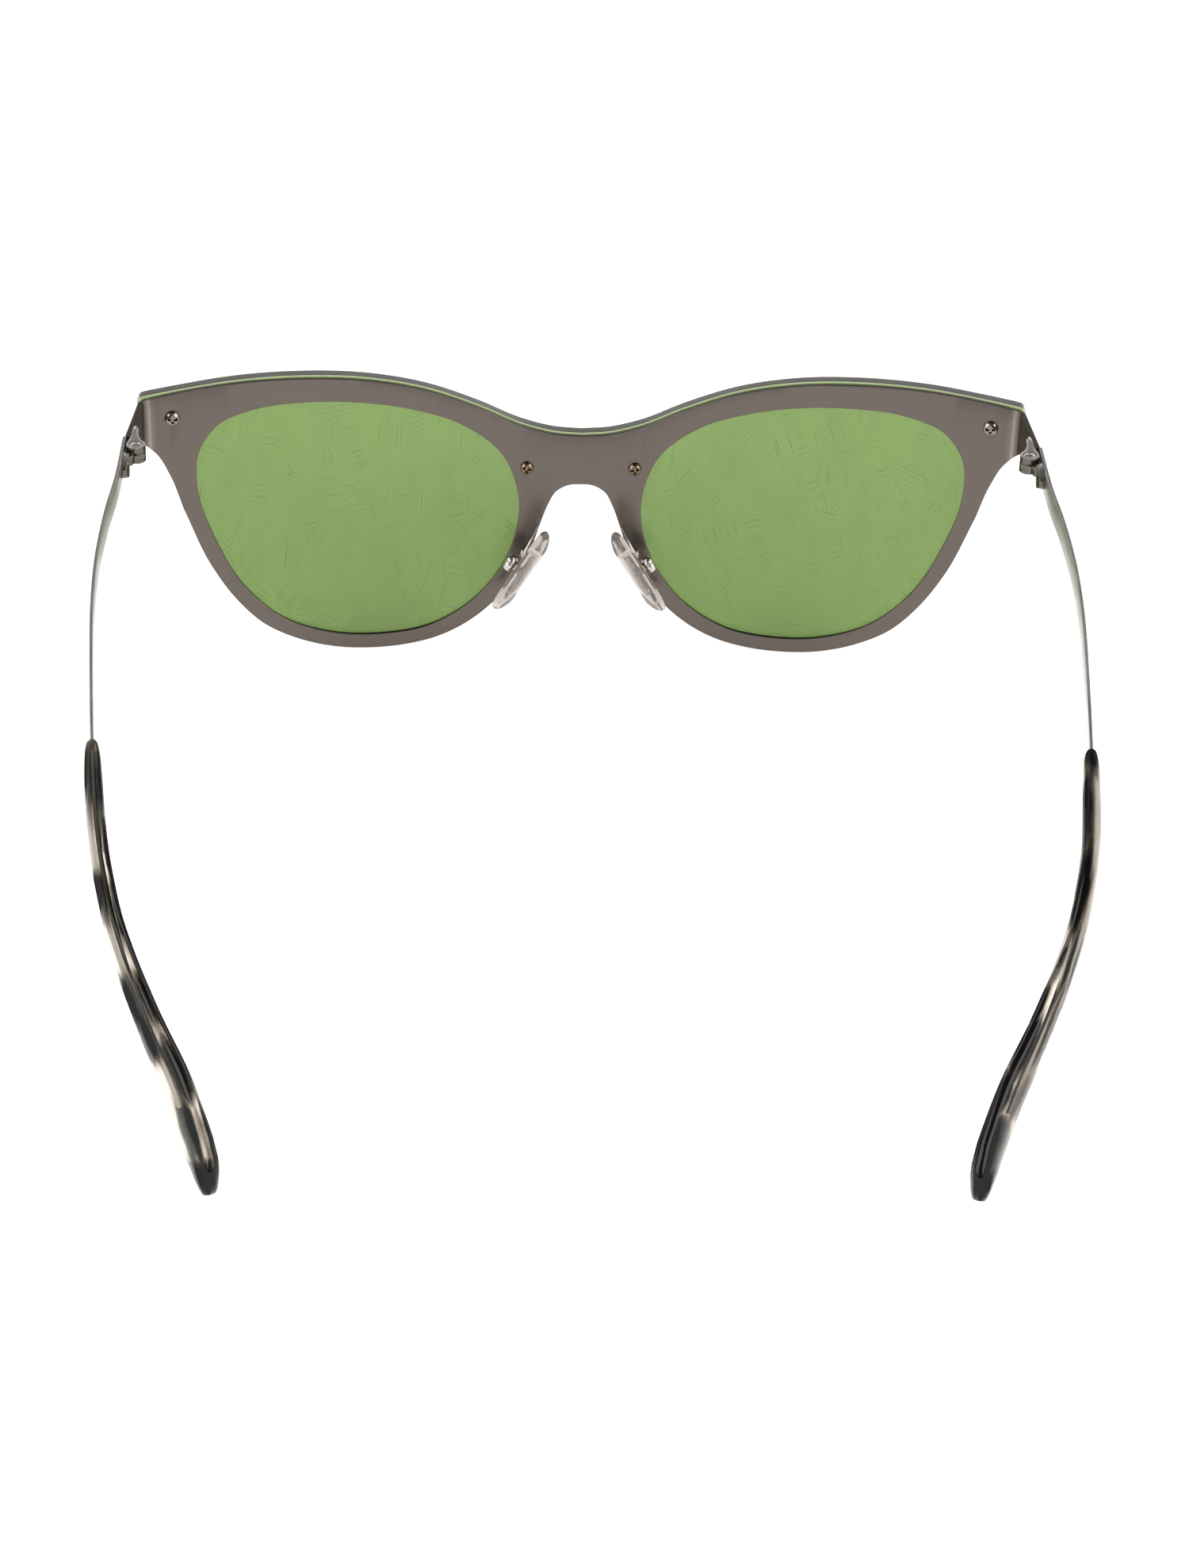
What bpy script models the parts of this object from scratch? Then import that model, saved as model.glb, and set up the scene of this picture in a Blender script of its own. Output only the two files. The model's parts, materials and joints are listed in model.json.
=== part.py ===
"""Cat eye sunglasses standing open on a table.

Lengths are in millimetres here and in metres in the scene.
+X is the wearer's right, +Y is forward and +Z is up.
"""

import math

import bmesh
import bpy
from mathutils import Matrix, Vector

MM = 0.001

# Front plate: one bent sheet. u runs along the sheet from the middle, v runs up it,
# and t runs forward from its rear face.
LEAN = math.radians(5.0)
BASE_RADIUS = 400.0
SHEET = 0.7
BEND_START = 66.8
BEND_RADIUS = 1.2
BEND_ANGLE = math.radians(73.6)
ENDPIECE_END = 78.3

# Lens: one green shield in front of the plate.
LENS_BACK = 0.8
LENS_THICK = 2.6
LENS_CHAMFER = 0.14

# Lens fixings: (name, u, v, head radius)
LENS_FIXINGS = (("outer", 63.3, 40.6, 1.15), ("inner", 8.45, 30.8, 1.0))
LENS_SHANK = 0.6
LENS_BUSH = 1.0

# Hinges: an upright axis at each side.
HINGE_X = 67.45
HINGE_Y = -14.55
HINGE_TOP = 43.5
KNUCKLE_RADIUS = 1.47
PIN_HOLE = 0.62
PIN_RADIUS = 0.56

# Temples
TEMPLE_START = -12.4
TEMPLE_TOP_Z = 43.7
TEMPLE_SLOPE = math.radians(4.0)
TEMPLE_THICK = 0.5
TEMPLE_TALL = 3.8
EAR_BEND_START = -99.0
EAR_BEND_RADIUS = 30.0
EAR_BEND_END = math.radians(55)
TIP_MOUTH = 74.4
TIP_END = 141.07
CORE_END = 129.5
TIP_CLEARANCE = 0.06

# How far each temple swings out past square at its stop, worn looser on the right.
SPLAY = {"right": math.radians(0.5), "left": 0.0}

# Nose pads: centre, long axis, and the side that meets the nose, on the right.
PAD_CENTRE = Vector((8.9, -4.3, 15.9))
PAD_LONG = Vector((0.52, -0.093, -0.85)).normalized()
PAD_FACE = Vector((-0.78, -0.35, -0.51)).normalized()
PAD_LENGTH = 15.4
PAD_WIDTH = 7.2
PAD_THICK = 2.4

# The shared frame: the lowest point is at 0 and the middle of the length at 0.
FRAME_SHIFT = Vector((0.0, 66.33, 0.29))

ROUND = 20

SIDES = (("right", 1), ("left", -1))


def clear_scene():
    for obj in list(bpy.data.objects):
        bpy.data.objects.remove(obj, do_unlink=True)


def new_collection(name, hidden=False):
    made = bpy.data.collections.new(name)
    bpy.context.scene.collection.children.link(made)
    made.hide_render = hidden
    return made


def material(name, colour, metallic=0.0, roughness=0.4, transmission=0.0):
    made = bpy.data.materials.new(name)
    made.use_nodes = True
    shader = made.node_tree.nodes["Principled BSDF"]
    shader.inputs["Base Color"].default_value = (*colour, 1.0)
    shader.inputs["Metallic"].default_value = metallic
    shader.inputs["Roughness"].default_value = roughness
    shader.inputs["Transmission Weight"].default_value = transmission
    made.diffuse_color = (*colour, 1.0)
    return made


def axis_empty(name, point, turn):
    """An empty on an upright hinge axis, turned about it."""
    empty = bpy.data.objects.new(name, None)
    empty.location = (point + FRAME_SHIFT) * MM
    empty.rotation_euler.z = turn
    empty.empty_display_size = 0.01
    PARTS.objects.link(empty)
    return empty


def add_object(name, mesh, look, pivot=Vector(), collection=None):
    """An object in millimetres, its origin at the pivot, which is a point or an axis empty."""
    parent = None
    if isinstance(pivot, bpy.types.Object):
        parent = pivot
        pivot = parent.location / MM - FRAME_SHIFT
    bmesh.ops.translate(mesh, verts=mesh.verts, vec=-pivot)
    bmesh.ops.scale(mesh, verts=mesh.verts, vec=(MM, MM, MM))
    bmesh.ops.recalc_face_normals(mesh, faces=mesh.faces)
    for face in mesh.faces:
        face.smooth = True
    for edge in mesh.edges:
        edge.smooth = edge.calc_face_angle(0.0) < math.radians(35)
    data = bpy.data.meshes.new(name)
    mesh.to_mesh(data)
    mesh.free()
    obj = bpy.data.objects.new(name, data)
    obj.parent = parent
    obj.location = Vector() if parent else (pivot + FRAME_SHIFT) * MM
    if look:
        data.materials.append(look)
    (collection or PARTS).objects.link(obj)
    return obj


def helper(name, mesh, pivot=Vector()):
    obj = add_object(name, mesh, None, pivot, HELPERS)
    obj.hide_render = True
    obj.display_type = "WIRE"
    return obj


def combine(target, other, operation):
    modifier = target.modifiers.new(other.name, "BOOLEAN")
    modifier.operation = operation
    modifier.solver = "EXACT"
    modifier.object = other


def mirrored(point, side):
    return Vector((side * point[0], point[1], point[2]))


def smooth_run(points, steps, closed=False):
    """Points on a smooth curve through the given ones (a Catmull-Rom spline)."""
    pts = [Vector(p) for p in points]
    count = len(pts)
    spans = count if closed else count - 1
    out = []
    for i in range(spans):
        p1, p2 = pts[i], pts[(i + 1) % count]
        p0 = pts[i - 1] if closed or i else p1 * 2 - p2
        p3 = pts[(i + 2) % count] if closed or i + 2 < count else p2 * 2 - p1
        d0 = max((p1 - p0).length, 1e-6)
        d1 = max((p2 - p1).length, 1e-6)
        d2 = max((p3 - p2).length, 1e-6)
        m1 = ((p1 - p0) / d0 * d1 + (p2 - p1) / d1 * d0) / (d0 + d1) * d1
        m2 = ((p2 - p1) / d1 * d2 + (p3 - p2) / d2 * d1) / (d1 + d2) * d1
        for k in range(steps):
            s = k / steps
            out.append(
                p1 * (2 * s**3 - 3 * s**2 + 1)
                + m1 * (s**3 - 2 * s**2 + s)
                + p2 * (3 * s**2 - 2 * s**3)
                + m2 * (s**3 - s**2)
            )
    return out if closed else out + [pts[-1]]


def circle(centre, radius, count=ROUND):
    turn = 2 * math.pi / count
    return [
        Vector((centre[0] + radius * math.cos(turn * k), centre[1] + radius * math.sin(turn * k)))
        for k in range(count)
    ]


def on_front(u, v, t):
    """The point of the bent sheet at (u, v), t forward of its rear face."""
    side = -1 if u < 0 else 1
    along = abs(u)
    start = BEND_START / BASE_RADIUS
    neutral = BEND_RADIUS + SHEET / 2
    bend_length = BEND_ANGLE * neutral
    if along <= BEND_START:
        angle = along / BASE_RADIUS
        x = (BASE_RADIUS + t) * math.sin(angle)
        y = (BASE_RADIUS + t) * math.cos(angle) - BASE_RADIUS
    else:
        inner = BASE_RADIUS - BEND_RADIUS
        turned = min(along - BEND_START, bend_length) / neutral
        angle = start + turned
        rest = max(along - BEND_START - bend_length, 0.0)
        x = inner * math.sin(start) + (BEND_RADIUS + t) * math.sin(angle) + rest * math.cos(angle)
        y = (
            inner * math.cos(start)
            - BASE_RADIUS
            + (BEND_RADIUS + t) * math.cos(angle)
            - rest * math.sin(angle)
        )
    return Vector(
        (
            side * x,
            y * math.cos(LEAN) + v * math.sin(LEAN),
            v * math.cos(LEAN) - y * math.sin(LEAN),
        )
    )


def on_lens(u, v, t):
    """As on_front, but the sheet never bends back."""
    angle = u / BASE_RADIUS
    x = (BASE_RADIUS + t) * math.sin(angle)
    y = (BASE_RADIUS + t) * math.cos(angle) - BASE_RADIUS
    return Vector(
        (x, y * math.cos(LEAN) + v * math.sin(LEAN), v * math.cos(LEAN) - y * math.sin(LEAN))
    )


def front_matrix(u, v, t):
    """A frame on the front: X along u, Y up the sheet, Z forward out of it."""
    here = on_lens(u, v, t)
    along = (on_lens(u + 0.01, v, t) - here).normalized()
    up = Vector((0.0, math.sin(LEAN), math.cos(LEAN)))
    out = (on_lens(u, v, t + 1.0) - here).normalized()
    turn = Matrix((along, up, out)).transposed()
    return Matrix.Translation(here) @ turn.to_4x4()


def flat_blank(loops, thick, chamfer=0.0):
    """A flat plate with the loops as its edges, its rear face at height 0."""
    curve = bpy.data.curves.new("blank", "CURVE")
    curve.dimensions = "2D"
    curve.fill_mode = "BOTH"
    curve.extrude = thick / 2 - chamfer
    curve.bevel_depth = chamfer
    curve.bevel_resolution = 0
    curve.offset = -chamfer
    for loop in loops:
        spline = curve.splines.new("POLY")
        spline.points.add(len(loop) - 1)
        for point, place in zip(spline.points, loop):
            point.co = (place[0], place[1], 0.0, 1.0)
        spline.use_cyclic_u = True
    obj = bpy.data.objects.new("blank", curve)
    bpy.context.scene.collection.objects.link(obj)
    bpy.context.view_layer.update()
    graph = bpy.context.evaluated_depsgraph_get()
    data = bpy.data.meshes.new_from_object(obj.evaluated_get(graph))
    mesh = bmesh.new()
    mesh.from_mesh(data)
    bpy.data.objects.remove(obj, do_unlink=True)
    bpy.data.curves.remove(curve)
    bpy.data.meshes.remove(data)
    bmesh.ops.remove_doubles(mesh, verts=mesh.verts, dist=0.001)
    bmesh.ops.dissolve_limit(mesh, angle_limit=0.0005, verts=mesh.verts, edges=mesh.edges)
    bmesh.ops.translate(mesh, verts=mesh.verts, vec=(0, 0, thick / 2))
    return mesh


def score(mesh, places):
    """Cuts edges across a blank at these u values, so that it can bend there."""
    for u in places:
        everything = mesh.verts[:] + mesh.edges[:] + mesh.faces[:]
        bmesh.ops.bisect_plane(
            mesh, geom=everything, dist=0.0005, plane_co=(u, 0, 0), plane_no=(1, 0, 0)
        )
    bmesh.ops.triangulate(mesh, faces=mesh.faces)


def both_sides(values):
    return [-v for v in reversed(values) if v] + list(values)


def loft(rings):
    """A closed skin over rings of equally many points, with flat ends."""
    mesh = bmesh.new()
    rows = [[mesh.verts.new(p) for p in ring] for ring in rings]
    count = len(rings[0])
    for low, high in zip(rows, rows[1:]):
        for k in range(count):
            after = (k + 1) % count
            mesh.faces.new((low[k], low[after], high[after], high[k]))
    mesh.faces.new(reversed(rows[0]))
    mesh.faces.new(rows[-1])
    return mesh


def turned(profile, place=Matrix(), count=ROUND):
    """A solid turned about Z from (radius, height) pairs."""
    rings = []
    for radius, height in profile:
        rings.append([place @ Vector((p[0], p[1], height)) for p in circle((0, 0), radius, count)])
    return loft(rings)


def tube(outer, inner, low, high, place=Matrix(), chamfer=0.1, count=ROUND):
    """A turned sleeve along Z with chamfered outer ends."""
    sections = (
        (inner, low),
        (outer - chamfer, low),
        (outer, low + chamfer),
        (outer, high - chamfer),
        (outer - chamfer, high),
        (inner, high),
    )
    mesh = bmesh.new()
    rows = []
    for radius, height in sections:
        ring = circle((0, 0), radius, count)
        rows.append([mesh.verts.new(place @ Vector((p[0], p[1], height))) for p in ring])
    for low_row, high_row in zip(rows, rows[1:] + rows[:1]):
        for k in range(count):
            after = (k + 1) % count
            mesh.faces.new((low_row[k], low_row[after], high_row[after], high_row[k]))
    return mesh


def prism(outline, low, high, place=Matrix()):
    """An upright solid over a flat outline."""
    rings = [[place @ Vector((p[0], p[1], z)) for p in outline] for z in (low, high)]
    return loft(rings)


def block(size, place):
    mesh = bmesh.new()
    bmesh.ops.create_cube(mesh, size=1.0)
    bmesh.ops.scale(mesh, verts=mesh.verts, vec=size)
    bmesh.ops.transform(mesh, matrix=place, verts=mesh.verts)
    return mesh


def softened(mesh, width, segments=1):
    """The mesh with its sharp edges beveled."""
    sharp = [e for e in mesh.edges if e.calc_face_angle(0.0) > math.radians(40)]
    bmesh.ops.bevel(mesh, geom=sharp, offset=width, segments=segments, affect="EDGES", profile=0.5)
    return mesh


def cross_recess(radius, depth, place):
    """The cutter for a cross-head driver: two tapered blades."""
    wide, thin = radius * 0.66, radius * 0.17
    rings = []
    for height, grow in ((-0.3, 1.25), (depth, 0.55)):
        a, b = wide * grow, thin * (0.7 + 0.3 * grow)
        corners = ((a, -b), (a, b), (b, b), (b, a), (-b, a), (-b, b))
        corners += ((-a, b), (-a, -b), (-b, -b), (-b, -a), (b, -a), (b, -b))
        rings.append([place @ Vector((x, y, height)) for x, y in corners])
    return loft(rings)


def screw(name, look, head, head_tall, shank, length, place, pivot, recess, dome=0.45):
    """A pan-head screw whose head sits on the place's Z = 0 plane, under it, shank up."""
    profile = (
        (head * 0.35, -head_tall),
        (head * 0.72, -head_tall * 0.92),
        (head * 0.93, -head_tall * (1 - dome)),
        (head, -head_tall * 0.2),
        (head, 0.0),
        (shank, 0.0),
        (shank, length - shank * 0.3),
        (shank * 0.7, length),
    )
    body = add_object(name, turned(profile, place), look, pivot)
    turn = Matrix.Rotation(recess, 4, "Z")
    drop = Matrix.Translation((0, 0, -head_tall))
    cutter = helper(name + "_recess", cross_recess(head, head_tall * 0.62, place @ drop @ turn), pivot)
    combine(body, cutter, "DIFFERENCE")
    return body


# ---------------------------------------------------------------- front plate and lens

TOP_EDGE = ((0, 36.2), (4, 36.5), (9, 37.78), (16, 40.9), (24, 43.85), (33, 45.65), (43, 46.25))
TOP_EDGE += ((54, 45.85), (62, 44.85), (67, 43.9))
ENDPIECE_TOP = ((67, 43.9), (69, 43.62), (73, 43.05))
ENDPIECE_LOW = ((73, 38.3), (70.5, 37.6), (68, 36.5), (66, 34.8), (64, 31.1), (62, 25.1))
OUTER_EDGE = ((62, 25.1), (58, 15.2), (54, 8.85), (50, 4.65), (44, 1.45), (38, -0.05), (33, -0.35))
OUTER_EDGE += ((27, 0.2), (22, 1.55), (18, 3.65), (14, 6.95), (10.6, 10.9), (8.2, 15.2), (6.2, 21.2))
NOSE_EDGE = ((6.2, 21.2), (5.1, 24.3), (3.7, 26.8), (1.8, 27.85), (0, 28.0))

OPENING = ((9.6, 24.5), (11.25, 15.9), (16.2, 8.4), (23.4, 3.6), (31.4, 2.1), (39.2, 2.6))
OPENING += ((46.7, 5.4), (52.75, 11.2), (57.0, 19.2), (59.75, 28.9), (59.4, 34.6), (56.3, 39.1))
OPENING += ((50.5, 41.45), (42.4, 42.3), (34.0, 42.0), (26.2, 40.7), (18.15, 37.85), (12.3, 33.0))

LENS_TOP = ((0, 36.4), (4, 36.7), (9, 38.0), (16, 41.15), (24, 44.1), (33, 45.9), (43, 46.5))
LENS_TOP += ((54, 46.05), (62, 45.0), (66.6, 44.3))
LENS_CORNER = ((66.6, 44.3), (67.95, 43.9), (68.5, 42.8))
LENS_SIDE = ((68.5, 42.8), (67.9, 40.2), (66.2, 36.3), (64.0, 31.6), (61.7, 25.2))
LENS_LOW = ((61.7, 25.2), (57.7, 15.4), (53.8, 9.15), (49.9, 5.0), (44, 1.75), (38, 0.2), (33, -0.05))
LENS_LOW += ((27, 0.5), (22, 1.85), (18, 3.95), (14.15, 7.2), (10.8, 11.05), (8.45, 15.3), (6.5, 21.2))
LENS_NOSE = ((6.5, 21.2), (5.4, 24.4), (3.9, 27.05), (1.9, 28.15), (0, 28.3))


def half_to_whole(half):
    """A closed loop from its right half, which runs from the top middle to the bottom middle."""
    left = [Vector((-p[0], p[1])) for p in reversed(half) if p[0] > 0.01]
    return [Vector((p[0], p[1])) for p in half] + left


def chain(*runs):
    """Smooth runs joined end to end, with a corner wherever two meet."""
    out = []
    for points, steps in runs:
        run = smooth_run(points, steps)
        out += run if not out else run[1:]
    return out


def plate_outline():
    lift = math.tan(LEAN) * 3.8
    end = [Vector((ENDPIECE_END, 42.35)), Vector((ENDPIECE_END - lift, 38.55))]
    top = chain((TOP_EDGE, 3), (ENDPIECE_TOP, 2))
    low = chain((ENDPIECE_LOW, 3), (OUTER_EDGE, 3), (NOSE_EDGE, 3))
    return half_to_whole(top + end + low)


def lens_outline():
    runs = ((LENS_TOP, 3), (LENS_CORNER, 3), (LENS_SIDE, 3), (LENS_LOW, 3), (LENS_NOSE, 3))
    return half_to_whole(chain(*runs))


def build_front_plate():
    loops = [plate_outline()]
    for _, side in SIDES:
        ring = smooth_run(OPENING, 4, closed=True)
        loops.append([Vector((side * p[0], p[1])) for p in ring])
        for _, u, v, _ in LENS_FIXINGS:
            loops.append(circle((side * u, v), LENS_SHANK + 0.08, 14))
    mesh = flat_blank(loops, SHEET)
    bend = (BEND_RADIUS + SHEET / 2) * BEND_ANGLE
    steps = [0.0] + [4.1 * k for k in range(1, 16)]
    steps += [64.5] + [BEND_START + bend * k / 6 for k in range(7)]
    score(mesh, both_sides(steps))
    for vert in mesh.verts:
        vert.co = on_front(*vert.co)
    add_object("front_plate", mesh, STEEL)


def build_lens():
    loops = [lens_outline()]
    for _, side in SIDES:
        for _, u, v, _ in LENS_FIXINGS:
            loops.append(circle((side * u, v), LENS_BUSH + 0.06, 16))
    mesh = flat_blank(loops, LENS_THICK, LENS_CHAMFER)
    score(mesh, both_sides([0.0] + [4.1 * k for k in range(1, 17)]))
    for vert in mesh.verts:
        vert.co = on_lens(vert.co.x, vert.co.y, vert.co.z + LENS_BACK)
    add_object("lens_shield", mesh, LENS)


def build_lens_fixings():
    front = LENS_BACK + LENS_THICK
    for side_name, side in SIDES:
        for place_name, u, v, head in LENS_FIXINGS:
            tag = f"{place_name}_{side_name}"
            place = front_matrix(side * u, v, 0.0)
            seat = place @ Matrix.Translation((0, 0, -0.04))
            look = NICKEL if place_name == "outer" else BRONZE
            turn = 0.35 * side if place_name == "outer" else 0.6 * side
            screw(f"lens_screw_{tag}", look, head, 0.62, LENS_SHANK, front + 0.95, seat, Vector(), turn)
            bush = tube(LENS_BUSH, LENS_SHANK + 0.06, LENS_BACK - 0.05, front + 0.03, place, 0.08, 16)
            add_object(f"lens_bushing_{tag}", bush, CLEAR)
            nut = tube(head + 0.15, LENS_SHANK + 0.05, front + 0.08, front + 1.0, place, 0.22)
            add_object(f"lens_nut_{tag}", nut, look)


# ---------------------------------------------------------------- hinges


def hinge_top_outline(axis, side):
    """A knuckle whose web sweeps forward to a horn-like point on the wing."""
    arc = []
    for k in range(15):
        angle = math.radians(-235 + 255 * k / 14)
        arc.append((axis.x + KNUCKLE_RADIUS * math.cos(angle), axis.y + KNUCKLE_RADIUS * math.sin(angle)))
    horn = ((1.28, 1.0), (1.02, 2.2), (0.68, 3.6), (0.3, 5.0), (0.13, 5.3), (0.0, 4.95), (-0.06, 4.1))
    horn += ((-0.14, 3.2), (-0.3, 2.4), (-0.55, 1.75))
    arc += [(axis.x + x, axis.y + y) for x, y in horn]
    return [(side * x, y) for x, y in arc]


def build_hinge_front(side_name, side):
    axis = Vector((HINGE_X, HINGE_Y))
    web = hinge_top_outline(axis, side)
    upper = prism(web, HINGE_TOP - 0.95, HINGE_TOP)
    body = add_object(f"hinge_front_{side_name}", upper, GUNMETAL)
    lower = helper(f"hinge_front_lower_{side_name}", prism(web, HINGE_TOP - 2.55, HINGE_TOP - 1.98))
    combine(body, lower, "UNION")
    wing = helper(f"hinge_wing_{side_name}", hinge_wing(side))
    combine(body, wing, "UNION")
    upright = Matrix.Translation((side * HINGE_X, HINGE_Y, 0))
    hole = ((PIN_HOLE, HINGE_TOP - 3.5), (PIN_HOLE, HINGE_TOP - 0.5), (1.02, HINGE_TOP - 0.5))
    hole += ((1.02, HINGE_TOP + 0.5),)
    bore = helper(f"hinge_bore_{side_name}", turned(hole, upright))
    combine(body, bore, "DIFFERENCE")


def hinge_wing(side):
    """The leaf on the endpiece's inner face: tall behind, running to a point in front."""
    rings = []
    stations = ((74.2, 42.0, 42.5, 0.3), (75.2, 41.1, 42.7, 0.5), (76.5, 40.2, 42.6, 0.6))
    stations += ((77.95, 39.55, 42.2, 0.62),)
    for u, low, high, thick in stations:
        ring = []
        for v, t in ((low, -0.06), (high, -0.06), (high, -thick), (low, -thick)):
            ring.append(on_front(side * u, v, t))
        rings.append(ring)
    return loft(rings)


def build_hinge_temple(side_name, side, pivot):
    axis = Vector((HINGE_X, HINGE_Y))
    low, high = HINGE_TOP - 1.91, HINGE_TOP - 1.02
    arc = []
    for k in range(15):
        angle = math.radians(-55 + 235 * k / 14)
        arc.append((axis.x + KNUCKLE_RADIUS * math.cos(angle), axis.y + KNUCKLE_RADIUS * math.sin(angle)))
    arc += [(axis.x - 1.35, axis.y - 0.8), (axis.x + 0.1, axis.y - 1.9), (axis.x + 0.35, axis.y - 3.2)]
    arc += [(axis.x + 1.4, axis.y - 3.2)]
    knuckle = prism([(side * x, y) for x, y in arc], low, high)
    body = add_object(f"hinge_temple_{side_name}", knuckle, GUNMETAL, pivot)
    leaf = helper(f"hinge_leaf_{side_name}", hinge_leaf(side), pivot)
    combine(body, leaf, "UNION")
    upright = Matrix.Translation((side * HINGE_X, HINGE_Y, 0))
    hole = ((PIN_HOLE, HINGE_TOP - 3.5), (PIN_HOLE, HINGE_TOP + 0.5))
    bore = helper(f"hinge_temple_bore_{side_name}", turned(hole, upright), pivot)
    combine(body, bore, "DIFFERENCE")


def hinge_leaf(side):
    """The thick tongue on the temple's inner face, with a rounded rear end."""
    rings = []
    middle = TEMPLE_TOP_Z - 0.2
    stations = ((1.75, 1.62, 0.85), (3.0, 1.62, 1.0), (3.9, 1.5, 1.0), (4.6, 1.1, 0.85), (4.95, 0.55, 0.6))
    for back, half, thick in stations:
        y = HINGE_Y - back
        face = temple_x(y) - TEMPLE_THICK / 2 - 0.05
        centre = middle - 1.72 - (-y - 12.4) * math.tan(TEMPLE_SLOPE)
        ring = []
        for x, z in ((face, -half), (face, half), (face - thick, half * 0.85), (face - thick, -half * 0.85)):
            ring.append(Vector((side * x, y, centre + z)))
        rings.append(ring)
    return loft(rings)


def build_hinge_screw(side_name, side):
    place = Matrix.Translation((side * HINGE_X, HINGE_Y, HINGE_TOP - 0.45))
    place = place @ Matrix.Rotation(math.pi, 4, "X")
    screw(f"hinge_screw_{side_name}", NICKEL, 0.95, 0.4, PIN_RADIUS, 2.05, place, Vector(), 0.15 * side, 0.25)


# ---------------------------------------------------------------- temples and tips

# How far out the temple's centre line is at each distance back.
TEMPLE_PLAN = ((-12.4, 69.35), (-23, 69.7), (-32, 70.45), (-43, 70.85), (-54, 70.55), (-66, 69.65))
TEMPLE_PLAN += ((-88, 67.55), (-102, 65.9), (-108, 64.9), (-112, 63.95), (-116.4, 62.55), (-120.3, 60.6))
TEMPLE_PLAN += ((-123.5, 58.4), (-126, 56.5), (-129, 54.1), (-132, 52.1), (-135.2, 50.35), (-139, 49.2))


def temple_x(y):
    """The centre line's distance from the middle plane, smooth through the plan's points."""
    pts = TEMPLE_PLAN
    i = 0
    while i < len(pts) - 2 and y < pts[i + 1][0]:
        i += 1
    slopes = []
    for j in (i, i + 1):
        a, b = pts[max(j - 1, 0)], pts[min(j + 1, len(pts) - 1)]
        slopes.append((b[1] - a[1]) / (b[0] - a[0]))
    (y0, x0), (y1, x1) = pts[i], pts[i + 1]
    span = y1 - y0
    s = (y - y0) / span
    return (
        x0 * (2 * s**3 - 3 * s**2 + 1)
        + slopes[0] * span * (s**3 - 2 * s**2 + s)
        + x1 * (3 * s**2 - 2 * s**3)
        + slopes[1] * span * (s**3 - s**2)
    )


def temple_point(s):
    """The centre line s mm along: straight, then round the ear bend, then straight."""
    z_start = TEMPLE_TOP_Z - TEMPLE_TALL / 2
    straight = (TEMPLE_START - EAR_BEND_START) / math.cos(TEMPLE_SLOPE)
    turn = EAR_BEND_END - TEMPLE_SLOPE
    bend = EAR_BEND_RADIUS * turn
    first = min(s, straight)
    y = TEMPLE_START - first * math.cos(TEMPLE_SLOPE)
    z = z_start - first * math.sin(TEMPLE_SLOPE)
    if s > straight:
        angle = TEMPLE_SLOPE + min(s - straight, bend) / EAR_BEND_RADIUS
        y -= EAR_BEND_RADIUS * (math.sin(angle) - math.sin(TEMPLE_SLOPE))
        z -= EAR_BEND_RADIUS * (math.cos(TEMPLE_SLOPE) - math.cos(angle))
    rest = s - straight - bend
    if rest > 0:
        y -= rest * math.cos(EAR_BEND_END)
        z -= rest * math.sin(EAR_BEND_END)
    return Vector((temple_x(y), y, z))


def temple_frame(s):
    """Centre, outward direction and upward direction of the section s mm along."""
    here = temple_point(s)
    forward = (temple_point(s - 0.2) - temple_point(s + 0.2)).normalized()
    up = (Vector((0, 0, 1)) - forward * forward.z).normalized()
    return here, forward.cross(up).normalized(), up


def between(pairs, s):
    """A value at s, straight-line between (s, value) pairs."""
    for (s0, v0), (s1, v1) in zip(pairs, pairs[1:]):
        if s <= s1:
            return v0 + (v1 - v0) * max(s - s0, 0.0) / (s1 - s0)
    return pairs[-1][1]


CORE_STOPS = [TIP_MOUTH - 2, 80, 84, 88, 92, 96, 100, 104, 108, 112, 116, 121, 125, CORE_END]
STRIP_TALL = ((0, 3.8), (20, 3.8), (75, 2.7), (84, 2.1), (110, 1.6), (CORE_END, 1.2))
TIP_THICK = ((TIP_MOUTH, 1.6), (75.4, 1.95), (77.4, 2.2), (82, 2.4), (88, 2.5), (100, 2.5), (110, 2.4))
TIP_THICK += ((118, 2.4), (128, 2.85), (135, 3.15), (TIP_END, 3.2))
TIP_TALL = ((TIP_MOUTH, 3.2), (76.5, 3.6), (80, 4.1), (90, 4.6), (105, 5.1), (118, 6.4), (128, 8.0))
TIP_TALL += ((135, 8.7), (TIP_END, 9.0))


def strip_ring(s, side, grow=0.0, thick=TEMPLE_THICK, upright=False):
    here, out, up = temple_frame(s)
    if upright:
        out, up = Vector((1, 0, 0)), Vector((0, 0, 1))
    half = between(STRIP_TALL, s) / 2 + grow
    wide = thick / 2 + grow
    corners = ((-wide, -half), (wide, -half), (wide, half), (-wide, half))
    return [mirrored(here + out * a + up * b, side) for a, b in corners]


def build_temple(side_name, side, pivot):
    stops = [0, 4, 8, 13, 19, 25, 31, 38, 46, 55, 65] + CORE_STOPS
    rings = [strip_ring(s, side, upright=(s == 0)) for s in stops]
    add_object(f"temple_{side_name}", loft(rings), TEMPLE_STEEL, pivot)


def tip_ring(s, side, shrink=1.0):
    here, out, up = temple_frame(min(s, TIP_END))
    wide = between(TIP_THICK, s) / 2 * (0.35 + 0.65 * shrink)
    half = between(TIP_TALL, s) / 2 * shrink
    ring = []
    for k in range(16):
        angle = 2 * math.pi * (k + 0.5) / 16
        a = math.copysign(abs(math.cos(angle)) ** 0.6, math.cos(angle)) * wide
        b = math.copysign(abs(math.sin(angle)) ** 0.75, math.sin(angle)) * half
        ring.append(mirrored(here + out * a + up * b, side))
    return ring


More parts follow.
